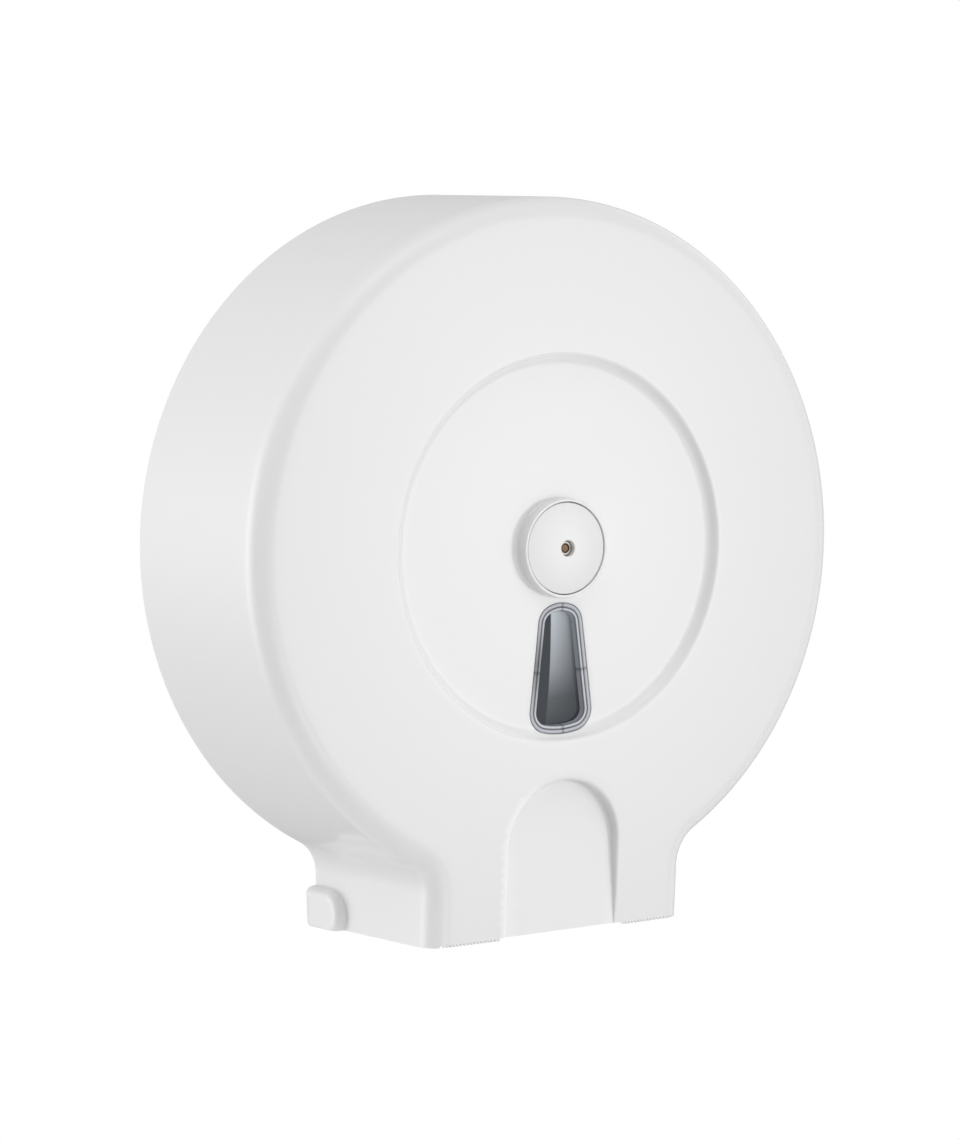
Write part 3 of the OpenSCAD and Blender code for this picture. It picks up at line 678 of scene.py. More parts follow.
def disc_inner(points):
    """Inner place of points on the disc: level with its floor, and spread at the edge."""
    r = np.hypot(*points.T)
    spread = WALL * np.clip((r - DISC_R + DISC_FADE) / DISC_FADE, 0, 1)
    moved = points * (1 + spread / r)[:, None]
    return np.stack([moved[:, 0], front(*moved.T) - DISC_DEPTH - WALL, moved[:, 1]], 1)


print("inner skin lies", WALL, "mm behind, shifted near the disc and the arch")

# %% [markdown]
# An edge that follows an outline is a grid: along the outline in one direction, and in a few
# rows across the edge in the other. A row is a function of the line and its outward
# directions, so the same line serves for every row, and a depth may depend on the place.

# %% Rows along an outline
def strip(line, outward, outer_rows, inner_rows, closed):
    """Rows along a line: each row is given as a function of the line and its directions."""
    o = np.array([row(line, outward) for row in outer_rows])
    i = np.array([row(line, outward) for row in inner_rows])
    faces = triangles(grid_faces(len(o), len(line), closed))
    return o.reshape(-1, 3), i.reshape(-1, 3), faces


def at(offset, depth):
    """A row at an offset from the line, at a depth that may depend on the place."""

    def row(line, outward):
        """The line's points moved outwards by the offset, as (x, depth, z)."""
        p = line + outward * offset
        d = depth(p) if callable(depth) else depth
        return np.stack([p[:, 0], np.broadcast_to(d, len(p)), p[:, 1]], 1)

    return row


def spread_rows(a, b, count):
    """Rows in equal steps between two row functions."""

    def between(t):
        """The row at a share t of the way from the first to the second."""
        return lambda line, outward: a(line, outward) * (1 - t) + b(line, outward) * t

    return [between(t) for t in np.linspace(0, 1, count)]


patches = {}
patches["edge band"] = (
    band_out.reshape(-1, 3),
    band_in.reshape(-1, 3),
    triangles(grid_faces(len(band_out), len(casing_path))),
)
print("edge band:", len(patches["edge band"][2]), "triangles")

# %% [markdown]
# The disc's lip is the first such edge. Its outer rows are the points of the profile down to
# the steep wall. Behind it the inner skin goes in equal steps from the dome to the disc.

# %% Patch: the disc's lip
LIP_POINTS = 300
disc_line = ring(DISC_R, LIP_POINTS)
disc_dir = disc_line / DISC_R
lip_outer = [at(r - DISC_R, sunken) for r in DISC_EDGE[:LIP_ROWS, 0]]
lip_inner = spread_rows(
    lambda line, outward: land_inner(line + outward * DISC_START),
    lambda line, outward: disc_inner(line + outward * DISC_WALL),
    LIP_ROWS,
)
patches["disc lip"] = strip(disc_line, disc_dir, lip_outer, lip_inner, True)
print("disc lip:", len(patches["disc lip"][2]), "triangles")

# %% [markdown]
# The arch's edge has a rounded rim, a wall and a soft corner at the floor. At the bottom the
# wall is hardly a millimetre high, so both rounds become flatter there: each takes at most a
# share of the wall's height. Without that, the two would cross each other.

# %% Patch: the arch's edge
ARCH_ROUND, ARCH_CORNER = 1.5, 0.9
ROUND_SHARE, CORNER_SHARE = 0.55, 0.35


def arch_wall(points):
    """Height of the arch's wall at a point, from its floor to the dome."""
    return front(*points.T) - arch_floor(points[:, 1])


def arch_rim(a):
    """A row on the rounded rim, at an angle of its quarter circle."""

    def depth(points):
        """Under the dome by the rim's radius times one less the cosine."""
        high = np.minimum(ARCH_ROUND, ROUND_SHARE * arch_wall(points))
        return front(*points.T) - high * (1 - np.cos(a))

    return at(-ARCH_ROUND * np.sin(a), depth)


def arch_foot(a):
    """A row on the soft corner between the arch's wall and its floor."""

    def depth(points):
        """Over the floor by the corner's radius times one less the sine."""
        high = np.minimum(ARCH_CORNER, CORNER_SHARE * arch_wall(points))
        return arch_floor(points[:, 1]) + high * (1 - np.sin(a))

    return at(-ARCH_ROUND - ARCH_CORNER * (1 - np.cos(a)), depth)


def arch_behind(points):
    """Depth of the inner skin behind the arch's floor."""
    return arch_floor(points[:, 1]) - WALL


arch_outer = [arch_rim(a) for a in np.linspace(0, np.pi / 2, 8)]
arch_outer += [arch_foot(a) for a in np.linspace(0, np.pi / 2, 5)]
arch_inner = spread_rows(
    lambda line, outward: land_inner(line), at(WALL, arch_behind), len(arch_outer)
)
patches["arch edge"] = strip(arch_path, arch_out, arch_outer, arch_inner, False)
print("arch edge:", len(patches["arch edge"][2]), "triangles")

# %% [markdown]
# The arch's floor is flat, so a wide lattice is enough. Behind it the inner skin is spread
# towards the arch's wall, which leaves that wall as thick as the rest.

# %% Patch: the arch's floor
FLOOR_SPACING, FLOOR_FADE = 6.0, 14
floor_edge = ARCH_ROUND + ARCH_CORNER
points, faces = fill([arch_path - arch_out * floor_edge], [], FLOOR_SPACING)
away, direction = away_from_arch(points)
shift = (WALL + floor_edge) * fade(-away - floor_edge, FLOOR_FADE)
moved = points + direction * shift[:, None]
patches["arch floor"] = (
    np.stack([points[:, 0], arch_floor(points[:, 1]), points[:, 1]], 1),
    np.stack([moved[:, 0], arch_behind(moved), moved[:, 1]], 1),
    faces,
)
print("arch floor:", len(faces), "triangles")

# %% [markdown]
# The dome's face lies between the band, the arch and the disc. Its outer loop runs along the
# end of the band, down over the saw teeth and round the arch. Two rings outside the disc
# carry its shading smoothly into the dome.

# %% Patch: the dome
DOME_SPACING = 3.2
TOOTH_START = 0.02
DISC_RINGS = ((3.8, 290), (5.6, 240))

on_dome = TEETH_X < FOOT_X - EDGE_R
right_teeth = np.stack([TEETH_X[on_dome], FOOT_Z + TEETH_UP[on_dome]], 1)
right_teeth = np.vstack([right_teeth[0] + [-TOOTH_START, TOOTH_H], right_teeth])
left_teeth = (right_teeth * [-1, 1])[::-1]
band_end = band_out[-1][:, [0, 2]]
outer_loop = np.vstack([band_end, right_teeth[::-1], arch_path[::-1], left_teeth[::-1]])
disc_hole = disc_line + disc_dir * DISC_START
rings = [ring(DISC_R + gap, count) for gap, count in DISC_RINGS]
points, faces = fill([outer_loop, disc_hole], rings, DOME_SPACING)
outer = np.stack([points[:, 0], front(*points.T), points[:, 1]], 1)
inner = land_inner(points)
outer[: len(band_end)], inner[: len(band_end)] = band_out[-1], band_in[-1]
patches["dome"] = (outer, inner, faces)
print("dome:", len(faces), "triangles, teeth on it:", len(right_teeth) // 2, "a side")

# %% [markdown]
# The window's opening has a small rounded edge in the disc's floor, then a short wall down to
# a ledge that the window's rim rests on. The opening is a little larger than the window, by
# the gap that lets it be pushed in from the front.

# %% Patch: the window's opening
PANE_GAP, PANE_T, RIM_W, PANE_ROUND = 0.25, 1.5, 3.5, 0.3
LEDGE_GAP, LEDGE_OUTER, LEDGE_INNER = 0.1, 0.6, 1.0


def ledge(points):
    """Depth of the ledge: the rim's thickness and a gap behind the window's plane."""
    return window_plane(points[:, 1]) - PANE_T - LEDGE_GAP


def window_edge(a):
    """A row on the rounded edge of the opening, at an angle of its quarter circle."""
    offset = PANE_GAP + PANE_ROUND * (1 - np.sin(a))
    return at(offset, lambda points: sunken(points) - PANE_ROUND * (1 - np.cos(a)))


opening_outer = [window_edge(a) for a in np.linspace(0, np.pi / 2, 4)]
opening_outer += [at(PANE_GAP, ledge), at(-RIM_W, ledge)]
opening_outer += [at(-RIM_W, lambda points: ledge(points) - LEDGE_OUTER)]
opening_inner = spread_rows(
    lambda line, outward: disc_inner(line + outward * (PANE_GAP + PANE_ROUND)),
    at(-RIM_W, lambda points: ledge(points) - LEDGE_INNER),
    len(opening_outer),
)
patches["window edge"] = strip(window_path, window_out, opening_outer, opening_inner, True)
print("window edge:", len(patches["window edge"][2]), "triangles")

# %% [markdown]
# The last patch is the disc's floor. It reaches from the steep wall to the lock's hole and
# the window's opening. The wide radius at the foot of the disc's wall shows clearly in the
# light, so it gets rings of its own, except where they would run into the window.

# %% Patch: the disc's floor
LOCK_HOLE_R, LOCK_POINTS = 18.95, 96
FLOOR_RINGS = ((90.5, 270), (88.2, 240))
RING_CLEAR = 0.5

window_hole = window_path + window_out * (PANE_GAP + PANE_ROUND)
rings = [ring(radius, LIP_POINTS) for radius in DISC_EDGE[LIP_ROWS:, 0]]
rings += [ring(radius, count) for radius, count in FLOOR_RINGS]
rings = [r[~inside(r, window_hole) & ~near(r, window_hole, RING_CLEAR)] for r in rings]
loops = [disc_line + disc_dir * DISC_WALL, ring(LOCK_HOLE_R, LOCK_POINTS), window_hole]
points, faces = fill(loops, rings, DOME_SPACING)
patches["disc floor"] = (disc_outer(points), disc_inner(points), faces)
print("disc floor:", len(faces), "triangles")

# %% [markdown]
# The patches share their edge points, so joining points that lie in one place turns them
# into one skin. Within a patch all the faces look the same way, but a grid and a
# triangulation don't agree on which, and a face that looks inwards shades wrongly. So each
# patch is turned as a whole. Turning single faces by their direction from a point inside
# would be wrong on the walls of the recesses, which look towards the axis. No part of the
# outer skin looks to the rear, which gives one test for all the patches. The triangulation
# gives its points in single precision, so places are compared to two decimals only.

# %% One skin from all the patches
FORWARD = np.array([0, -1, 0])
COARSE = 2


def weld(points, faces, also=None, digits=4):
    """Joins points that share a place, and drops faces that have shrunk to a line."""
    key = np.round(np.asarray(points), digits) + 0.0
    _, first, back = np.unique(key, axis=0, return_index=True, return_inverse=True)
    faces = back.ravel()[faces]
    keep = (
        (faces[:, 0] != faces[:, 1]) & (faces[:, 1] != faces[:, 2]) & (faces[:, 2] != faces[:, 0])
    )
    return points[first], faces[keep], None if also is None else also[first]


def open_edges(faces):
    """Directed edges that only one triangle has."""
    edges = np.vstack([faces[:, [0, 1]], faces[:, [1, 2]], faces[:, [2, 0]]])
    whole = edges.max() + 1
    code = edges[:, 0] * whole + edges[:, 1]
    return edges[~np.isin(edges[:, 1] * whole + edges[:, 0], code)]


def facing(points, faces, way):
    """The faces of one sheet, turned round together if the sum of their normals has a
    negative product with a direction."""
    a, b, c = (points[faces[:, k]] for k in range(3))
    return faces if np.cross(b - a, c - a).sum(0) @ way > 0 else faces[:, ::-1]


def join(sheets):
    """Points and faces of several sheets of (points, faces) as one list of each."""
    starts = np.cumsum([0] + [len(points) for points, _ in sheets])
    faces = np.vstack([faces + start for (_, faces), start in zip(sheets, starts)])
    return np.vstack([points for points, _ in sheets]), faces


sheets = [(outer * [1, -1, 1], faces) for outer, _, faces in patches.values()]
skin, faces = join([(points, facing(points, faces, FORWARD)) for points, faces in sheets])
inner = np.vstack([inner for _, inner, _ in patches.values()])
skin, faces, inner = weld(skin, faces, inner, digits=COARSE)
print("skin:", len(skin), "points,", len(faces), "triangles")

# %% [markdown]
# The inner skin has the same faces, turned round. Wherever the outer skin has an edge with
# one face only, there is an opening: the rear, the foot's bottom, the lock's hole and the
# window. A strip of two triangles for each such edge joins the skins, and the body is closed.

# %% Close the cover
def between_skins(faces, count):
    """Faces of the body between two skins with one layout of points: the outer skin's, the
    inner skin's turned round, and two triangles along each open edge."""
    rim = open_edges(faces)
    behind = rim + count
    strip_a = np.stack([rim[:, 1], rim[:, 0], behind[:, 0]], 1)
    strip_b = np.stack([rim[:, 1], behind[:, 0], behind[:, 1]], 1)
    return np.vstack([faces, faces[:, ::-1] + count, strip_a, strip_b])


cover_points = np.vstack([skin, inner * [1, -1, 1]])
cover_faces = between_skins(faces, len(skin))
cover = make_object("cover_shell", cover_points, cover_faces, MATERIALS["white_abs"], "cover")
print("cover:", len(cover_faces), "triangles,", len(open_edges(faces)), "edges round the openings")
print("cover: edges left open:", len(open_edges(cover_faces)))

# %% [markdown]
# The painted light is strongest on the disc's steep wall, less so on the right side, where the light
# comes from. The arch's left rim gets a narrow band of painted highlight, and its floor gets painted
# shade. All of them fade in, so that no edge of the painted tone shows on the plastic.

# %% Painted light and shade on the cover
RIGHT_SHARE = 0.45
RIM_PAINTED_HIGHLIGHT, RIM_AT, RIM_WIDTH, RIM_FADE = 1.2, -0.5, 0.8, 12
FLOOR_PAINTED_SHADE, FLOOR_START, FLOOR_SOFT = 0.45, 2, 2


def bell(distance, width):
    """1 at no distance, and falling smoothly to nearly 0 at two widths: e to the power of
    minus the square of distance over width."""
    return np.exp(-((distance / width) ** 2))


x = cover_points[:, 0]
from_axis = np.hypot(x, cover_points[:, 2])
to_right = np.maximum(x / np.maximum(from_axis, 1), 0)
steepness = np.concatenate([np.linspace(0, 1, LIP_ROWS), np.linspace(1, 0, LIP_ROWS)])
painted_steep_light = np.interp(from_axis, DISC_EDGE[::-1, 0], steepness[::-1], 0, 0)
into_arch = away_from_arch(cover_points[:, [0, 2]])[0]
# painted highlight along the arch's left rim, and painted shade on the arch's floor
painted_rim_highlight = RIM_PAINTED_HIGHLIGHT * bell(into_arch - RIM_AT, RIM_WIDTH) * np.clip(-x / RIM_FADE - 1, 0, 1)
painted_floor_shade = FLOOR_PAINTED_SHADE * np.clip((-into_arch - FLOOR_START) / FLOOR_SOFT, 0, 1)
store(cover, "painted_light_shade", painted_steep_light * (1 - RIGHT_SHARE * to_right) + painted_rim_highlight - painted_floor_shade)
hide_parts("front_cover")
print("lift: up to", round(float(painted_steep_light.max()), 2), "on the disc's wall")

# %% [markdown]
# ## Hinge bosses
# Two bosses low on the foot's sides hold the hinge's pins. The front of each is an arc about
# the pin, and the rear is square. It could be a rounded box, but then the round front and
# the soft flare where it meets the foot would be two more steps. Instead its outline is one
# row of points about the pin, and rows at other radii and heights make the rest.

# %% Outline of a boss
HINGE_Y, HINGE_Z = 18.0, FOOT_Z + 8.0
BOSS_R, BOSS_OUT, BOSS_ROUND, BOSS_FLARE, BOSS_SOFT = 12.0, 6.0, 4.0, 1.2, 0.5
BOSS_BASE = -0.02


def boss_row(radius, height, n_level=14, n_turn=44):
    """A row of (height, y, z) at a radius about the pin: level from the rear to above the pin,
    then round the front down to the foot's bottom."""
    level = np.linspace(WALL_GAP, HINGE_Y, n_level, endpoint=False)
    turn = np.linspace(np.pi / 2, -np.arcsin((HINGE_Z - FOOT_Z) / radius), n_turn)
    y = np.concatenate([level, HINGE_Y + radius * np.cos(turn)])
    z = np.concatenate([np.full(n_level, HINGE_Z + radius), HINGE_Z + radius * np.sin(turn)])
    return np.stack([np.full(len(y), height), y, z], 1)


def boss_free_edge(n=12, n_corner=8):
    """The flat face's lower and rear edge as (y, z) points, from under the pin round the rear
    corner's quarter circle and up, with the directions into the face."""
    turn = np.linspace(0, np.pi / 2, n_corner)
    corner_y = WALL_GAP + CORNER_R * (1 - np.sin(turn))
    corner = np.stack([corner_y, FOOT_Z + CORNER_R * (1 - np.cos(turn))], 1)
    bottom = np.linspace([HINGE_Y, FOOT_Z], corner[0], n, endpoint=False)
    rear = np.linspace(corner[-1], [WALL_GAP, HINGE_Z + BOSS_R - BOSS_ROUND], n)[1:]
    up, forward = np.tile([0.0, 1.0], (n, 1)), np.tile([1.0, 0.0], (n - 1, 1))
    inward = np.vstack([up, np.stack([np.sin(turn), np.cos(turn)], 1), forward])
    inward[[0, -1]] = 0
    return np.vstack([bottom, corner, rear]), inward


print("a boss stands", BOSS_OUT, "mm out of the foot, with its pin", HINGE_Y, "mm off the wall")

# %% [markdown]
# Across the boss the rows run over a small flare at the foot's side, up the side of the boss
# and over its rounded edge. The lower and rear edges have a much smaller round, because they
# are cut level with the foot. Below all of it a skirt reaches into the foot's side, so that
# the boss has no gap there.

# %% Surfaces of a boss
BOSS_STEPS = 9


def boss_rows():
    """Rows over the flare and the rounded edge: two quarter circles, one hollow, one full."""
    quarter = np.linspace(0, np.pi / 2, BOSS_STEPS)
    flare = [
        boss_row(BOSS_R + BOSS_FLARE * (1 - np.sin(t)), BOSS_BASE + BOSS_FLARE * (1 - np.cos(t)))
        for t in quarter
    ]
    edge = [
        boss_row(BOSS_R - BOSS_ROUND * (1 - np.cos(t)), BOSS_OUT - BOSS_ROUND * (1 - np.sin(t)))
        for t in quarter
    ]
    return np.array(flare + edge)


def boss_soft_rows():
    """Rows of (height, y, z) over the small round at the lower and rear edge."""
    edge, inward = boss_free_edge()
    rows = []
    for t in np.linspace(0, np.pi / 2, 3):
        inset = BOSS_SOFT * (1 - np.cos(t))
        height = np.full(len(edge), BOSS_OUT - BOSS_SOFT * (1 - np.sin(t)))
        rows.append(np.column_stack([height, edge + inward * inset]))
    return np.array(rows)


def boss_skirt(rows, soft):
    """The wall under the rows' ends and under the free edge, down to the foot's side. Its top
    steps down and up again along the two ends of the small round."""
    free = np.vstack([soft[::-1, 0][1:], soft[0][1:], soft[1:, -1]])
    top = np.vstack([rows[:, -1], free, rows[::-1, 0][1:]])
    return np.array([top, top * [0, 1, 1] + [BOSS_BASE, 0, 0]])


rows = boss_rows()
print("boss rows:", rows.shape[0], "of", rows.shape[1], "points")

# %% [markdown]
# The flat face and the hidden base are filled inside their loops, and the five sheets are
# joined. Each is turned by the way it looks: three of them out of the foot, the skirt down
# and to the rear, and the base into the foot. The right boss is the left one mirrored,
# which also turns its faces.

# %% The two bosses
FACE_SPACING, BASE_SPACING = 3.0, 6.0
OUT_OF_FOOT, DOWN_AND_BACK = np.array([1, 0, 0]), np.array([0, -1, -1])


def flat_sheet(loop, spacing, height):
    """A filled loop of (y, z) points as a sheet at one height."""
    points, faces = fill([loop], [], spacing)
    return np.column_stack([np.full(len(points), height), points]), faces


def boss_surface(side):
    """Points and triangles of the boss on the left (-1) or right (+1) side."""
    rows, soft = boss_rows(), boss_soft_rows()
    skirt = boss_skirt(rows, soft)
    face_loop = np.vstack([rows[-1], soft[-1][1:-1]])[:, 1:]
    base_loop = np.vstack([rows[0][:-1], rows[:, -1], soft[0][1:], rows[::-1, 0][1:-1]])[:, 1:]
    sheets = [
        (grid.reshape(-1, 3), triangles(grid_faces(*grid.shape[:2]))) for grid in (rows, soft, skirt)
    ]
    sheets.append(flat_sheet(face_loop, FACE_SPACING, BOSS_OUT))
    sheets.append(flat_sheet(base_loop, BASE_SPACING, BOSS_BASE))
    ways = [OUT_OF_FOOT, OUT_OF_FOOT, DOWN_AND_BACK, OUT_OF_FOOT, -OUT_OF_FOOT]
    points, faces = join([(p, facing(p, f, way)) for (p, f), way in zip(sheets, ways)])
    points, faces, _ = weld(points, faces, digits=COARSE)
    points = np.stack([side * (FOOT_X + points[:, 0]), -points[:, 1], points[:, 2]], 1)
    return points, faces[:, ::-1] if side > 0 else faces


for side, name in ((-1, "hinge_boss_left"), (1, "hinge_boss_right")):
    boss_points, boss_faces = boss_surface(side)
    boss = make_object(name, boss_points, boss_faces, MATERIALS["white_abs"], "cover")
    print(name, len(boss_faces), "triangles,", len(open_edges(boss_faces)), "open edges")

# %% [markdown]
# ## The lock
# The lock's collar, cap, key post and sleeve are all round, so each is a profile of radius
# and depth that is turned about the spindle's axis, as on a lathe. Moulded and turned edges
# are never quite sharp, and it is their small rounds that catch the light. So a corner of a
# profile is given with its rounding, and the helper puts an arc in its place.

# %% Turned shapes
def outward(points, faces):
    """Turns all faces of a closed body round if its volume comes out negative. The volume is
    a sixth of the sum of each triangle's triple product."""
    a, b, c = (points[faces[:, k]] for k in range(3))
    return faces if (a * np.cross(b, c)).sum() > 0 else faces[:, ::-1]


def rounded(corners, steps=5):
    """A line through corners of (radius, depth, rounding). An arc touches both sides of its
    corner: its centre is on the line that halves the angle, at rounding over the sine of
    half the angle, and its ends are at rounding over the tangent."""
    places = np.array(corners, float)[:, :2]
    line = [places[:1]]
    for before, corner, after, (_, _, radius) in zip(places, places[1:], places[2:], corners[1:]):
        if not radius:
            line.append(corner[None])
            continue
        a = (before - corner) / np.linalg.norm(before - corner)
        b = (after - corner) / np.linalg.norm(after - corner)
        half = np.arccos(np.clip(a @ b, -1, 1)) / 2
        centre = corner + (a + b) / np.linalg.norm(a + b) * (radius / np.sin(half))
        start = corner + a * radius / np.tan(half) - centre
        end = corner + b * radius / np.tan(half) - centre
        t = np.linspace(0, 1, steps + 1)[:, None]
        way = start * (1 - t) + end * t
        line.append(centre + way / np.linalg.norm(way, axis=1)[:, None] * radius)
    line.append(places[-1:])
    return np.vstack(line)


def lathe(name, profile, steps, material, body):
    """A closed profile of (radius, depth) turned about the axis: the radius times cosine and
    sine of even angles, at the same depth."""
    turn = np.linspace(0, 2 * np.pi, steps, endpoint=False)
    radius, depth = profile[:, :1], profile[:, 1:]
    y = np.broadcast_to(-depth, (len(profile), steps))
    points = np.stack([radius * np.cos(turn), y, radius * np.sin(turn)], -1)
    faces = triangles(grid_faces(len(profile), steps, closed=True))
    points, faces, _ = weld(points.reshape(-1, 3), faces)
    return make_object(name, points, outward(points, faces), material, body)


print("a square corner of rounding 1 becomes", len(rounded([(0, 0, 0), (5, 0, 1), (5, 5, 0)])), "points")

# %% [markdown]
# The collar is pushed through the cover from the front and held by a nut behind. It carries
# the cap, which turns in the collar's pocket. Their depths follow from each other, from the
# disc's floor forwards to the collar's front and backwards to the nut and the clip.

# %% Lock collar
DISC_FLOOR = DEPTH - DISC_DEPTH
COLLAR_FRONT = DISC_FLOOR + 6.4
CAP_R, CAP_SIDE, CAP_SUNK = 22.6, 4.2, 0.6
CAP_BACK = COLLAR_FRONT - CAP_SIDE - CAP_SUNK
POCKET_R = CAP_R + 0.45
COLLAR_R = POCKET_R + 1.35
POCKET_BACK = CAP_BACK - 0.3
SLEEVE_R, SLEEVE_WALL, COLLAR_WEB = 18.8, 2.5, 2.5
NUT_T, NUT_GAP = 4.6, 0.5
NUT_BACK = DISC_FLOOR - WALL - NUT_GAP - NUT_T
SLEEVE_BACK = NUT_BACK - 0.5
SHAFT_R, SHAFT_GAP = 8.0, 0.06
SEAT = DISC_FLOOR - 0.25
BEVEL_OUT, BEVEL_UP = 0.6, 0.7

collar_profile = rounded(
    [
        (SLEEVE_R, SLEEVE_BACK, 0),
        (SLEEVE_R, SEAT, 0),
        (COLLAR_R + BEVEL_OUT, SEAT, 0),
        (COLLAR_R, SEAT + BEVEL_UP, 0.6),
        (COLLAR_R, COLLAR_FRONT, 0.45),
        (POCKET_R, COLLAR_FRONT, 0.3),
        (POCKET_R, POCKET_BACK, 0.3),
        (SHAFT_R + SHAFT_GAP, POCKET_BACK, 0),
        (SHAFT_R + SHAFT_GAP, SLEEVE_BACK, 0),
        (SHAFT_R + SLEEVE_WALL, SLEEVE_BACK, 0),
        (SHAFT_R + SLEEVE_WALL, POCKET_BACK - COLLAR_WEB, 0),
        (SLEEVE_R - SLEEVE_WALL, POCKET_BACK - COLLAR_WEB, 0),
        (SLEEVE_R - SLEEVE_WALL, SLEEVE_BACK, 0),
        (SLEEVE_R, SLEEVE_BACK, 0),
    ]
)
collar = lathe("lock_collar_turned", collar_profile, 192, MATERIALS["white_abs"], "cover")
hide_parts("lock_collar")
print("collar:", len(collar_profile), "profile points, radius", round(COLLAR_R, 2), "mm")

# %% [markdown]
# The cap's face is bulged like a watch glass: an arc through its middle and its edge, whose
# radius follows from the edge's radius and the rise. Behind it the shaft runs to the inside
# of the cover, with a groove for the clip that holds it.

# %% Lock cap
CAP_RISE, CAP_ROUND = 1.9, 0.5
CAP_EDGE = CAP_BACK + CAP_SIDE
CAP_TOP = CAP_EDGE + CAP_RISE
CLIP_T, CLIP_GAP = 1.0, 0.1
CLIP_FRONT = SLEEVE_BACK - 0.3
CLIP_BACK = CLIP_FRONT - CLIP_T
GROOVE_R = 7.0
SHAFT_BACK = CLIP_BACK - 1.2
KEYHOLE_R = 4.0
KEYHOLE_BACK = CLIP_FRONT + 4.0
HOLE_ROUND, HOLE_STEP = 0.25, 0.07

bulge_r = (CAP_R**2 + CAP_RISE**2) / (2 * CAP_RISE)
r = np.linspace(KEYHOLE_R + HOLE_ROUND, CAP_R - CAP_ROUND, 24)
bulge = np.stack([r, CAP_TOP - bulge_r + np.sqrt(bulge_r**2 - r**2)], 1)
turn = np.radians(np.arange(15, 91, 15))
cap_round = bulge[-1] - [0, CAP_ROUND] + CAP_ROUND * np.stack([np.sin(turn), np.cos(turn)], 1)
hole = [
    (0, KEYHOLE_BACK),
    (KEYHOLE_R, KEYHOLE_BACK),
    (KEYHOLE_R, bulge[0, 1] - HOLE_ROUND),
    (KEYHOLE_R + HOLE_STEP, bulge[0, 1] - HOLE_STEP),
]
shaft = [
    (CAP_R, CAP_BACK),
    (SHAFT_R, CAP_BACK),
    (SHAFT_R, CLIP_FRONT + CLIP_GAP),
    (GROOVE_R, CLIP_FRONT + CLIP_GAP),
    (GROOVE_R, CLIP_BACK - CLIP_GAP),
    (SHAFT_R, CLIP_BACK - CLIP_GAP),
    (SHAFT_R, SHAFT_BACK),
    (0, SHAFT_BACK),
]
cap_profile = np.vstack([hole, bulge, cap_round, shaft])
cap = lathe("lock_cap_turned", cap_profile, 192, MATERIALS["white_abs"], "lock")
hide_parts("lock_cap")
print("cap:", len(cap_profile), "profile points, bulge radius", round(bulge_r, 1), "mm")

# %% [markdown]
# In the keyhole stands a round post that only a tube key fits over. It is brass, its colour darkened for
# age and, as painted shade, for the dark keyhole round it. Its front edge has a clear round, so that it
# shows as a ring of light.

# %% Key post
POST_R = 2.2
POST_FOOT, POST_END = KEYHOLE_BACK - 3, CAP_EDGE - 0.7
post_profile = rounded(
    [(0, POST_FOOT, 0), (POST_R, POST_FOOT, 0), (POST_R, POST_END, 0.6), (0, POST_END, 0)]
)
post = lathe("key_post_turned", post_profile, 64, MATERIALS["brass"], "lock")
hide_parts("key_post")
print("key post:", POST_R, "mm in radius,", round(POST_END - POST_FOOT, 2), "mm long")

# %% [markdown]
# A thin metal sleeve lines the keyhole, and near its mouth a ring leaves only a narrow gap
# round the post. Its worked grey face is lighter than the dark steel behind, so it has a
# metal of its own.

# %% Keyhole sleeve
SLEEVE_OUT, SLEEVE_IN = KEYHOLE_R - 0.02, KEYHOLE_R - 0.8
RING_OUT, RING_IN = KEYHOLE_R - 0.45, POST_R + 0.12
RING_BACK, RING_FRONT = CAP_EDGE - 1.8, CAP_EDGE - 0.5
sleeve_profile = rounded(
    [
        (SLEEVE_IN, KEYHOLE_BACK, 0),
        (SLEEVE_OUT, KEYHOLE_BACK, 0),
        (SLEEVE_OUT, RING_BACK, 0.1),
        (RING_OUT, RING_BACK, 0),
        (RING_OUT, RING_FRONT, 0.25),
        (RING_IN, RING_FRONT, 0.2),
        (RING_IN, RING_BACK, 0),
        (SLEEVE_IN, RING_BACK, 0),
        (SLEEVE_IN, KEYHOLE_BACK, 0),
    ]
)
key_ring = metal("key_ring", (0.40, 0.375, 0.34), 0.32, 0.46)
sleeve = lathe("key_sleeve_turned", sleeve_profile, 96, key_ring, "lock")
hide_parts("key_sleeve")
print("sleeve:", len(sleeve_profile), "profile points")

# %% [markdown]
# ## The window
# The window is a clear moulding: a rim with two fine beads, walls that stand behind it and a smoked pane
# between them. Clear edges bend the light into thin dark and light lines. Tracing that is slow and
# noisy, so each row of the rim carries those lines instead, as painted light and shade. The rim is one
# more grid along the outline, which closes on itself.

# %% Window rim
SKIRT_OUT, SKIRT_END = RIM_W + PANE_GAP, PANE_T + 5.0

# offset inwards from the outline, depth under the window's plane, painted shade of the bent light
RIM_ROWS = [
    (0.0, PANE_T, 0.30), (0.0, 0.4, 0.30), (0.08, 0.12, 0.34), (0.3, 0.0, 0.62),
    (1.5, 0.0, 0.66), (1.75, 0.12, 0.4), (1.95, 0.3, 0.1), (2.3, 0.3, 0.1),
    (2.5, 0.12, 0.5), (2.7, 0.0, 0.78), (3.4, 0.0, 0.78), (3.65, 0.15, 0.45),
    (3.8, 0.35, 0.22), (3.95, 0.7, 0.3), (4.05, 1.2, 0.6), (4.2, 3.6, 0.72),
    (4.2, SKIRT_END, 0.6), (SKIRT_OUT, SKIRT_END, 0.4), (SKIRT_OUT, PANE_T, 0.4),
    (0.0, PANE_T, 0.30),
]


def under_plane(h):
    """Depth of the surface that lies this far behind the window's plane."""
    return lambda p: window_plane(p[:, 1]) - h


rows = [at(-offset, under_plane(depth)) for offset, depth, _ in RIM_ROWS]
rim_points, _, rim_faces = strip(window_path, window_out, rows, rows, True)
print("window rim:", len(RIM_ROWS), "rows of", len(window_path), "points")
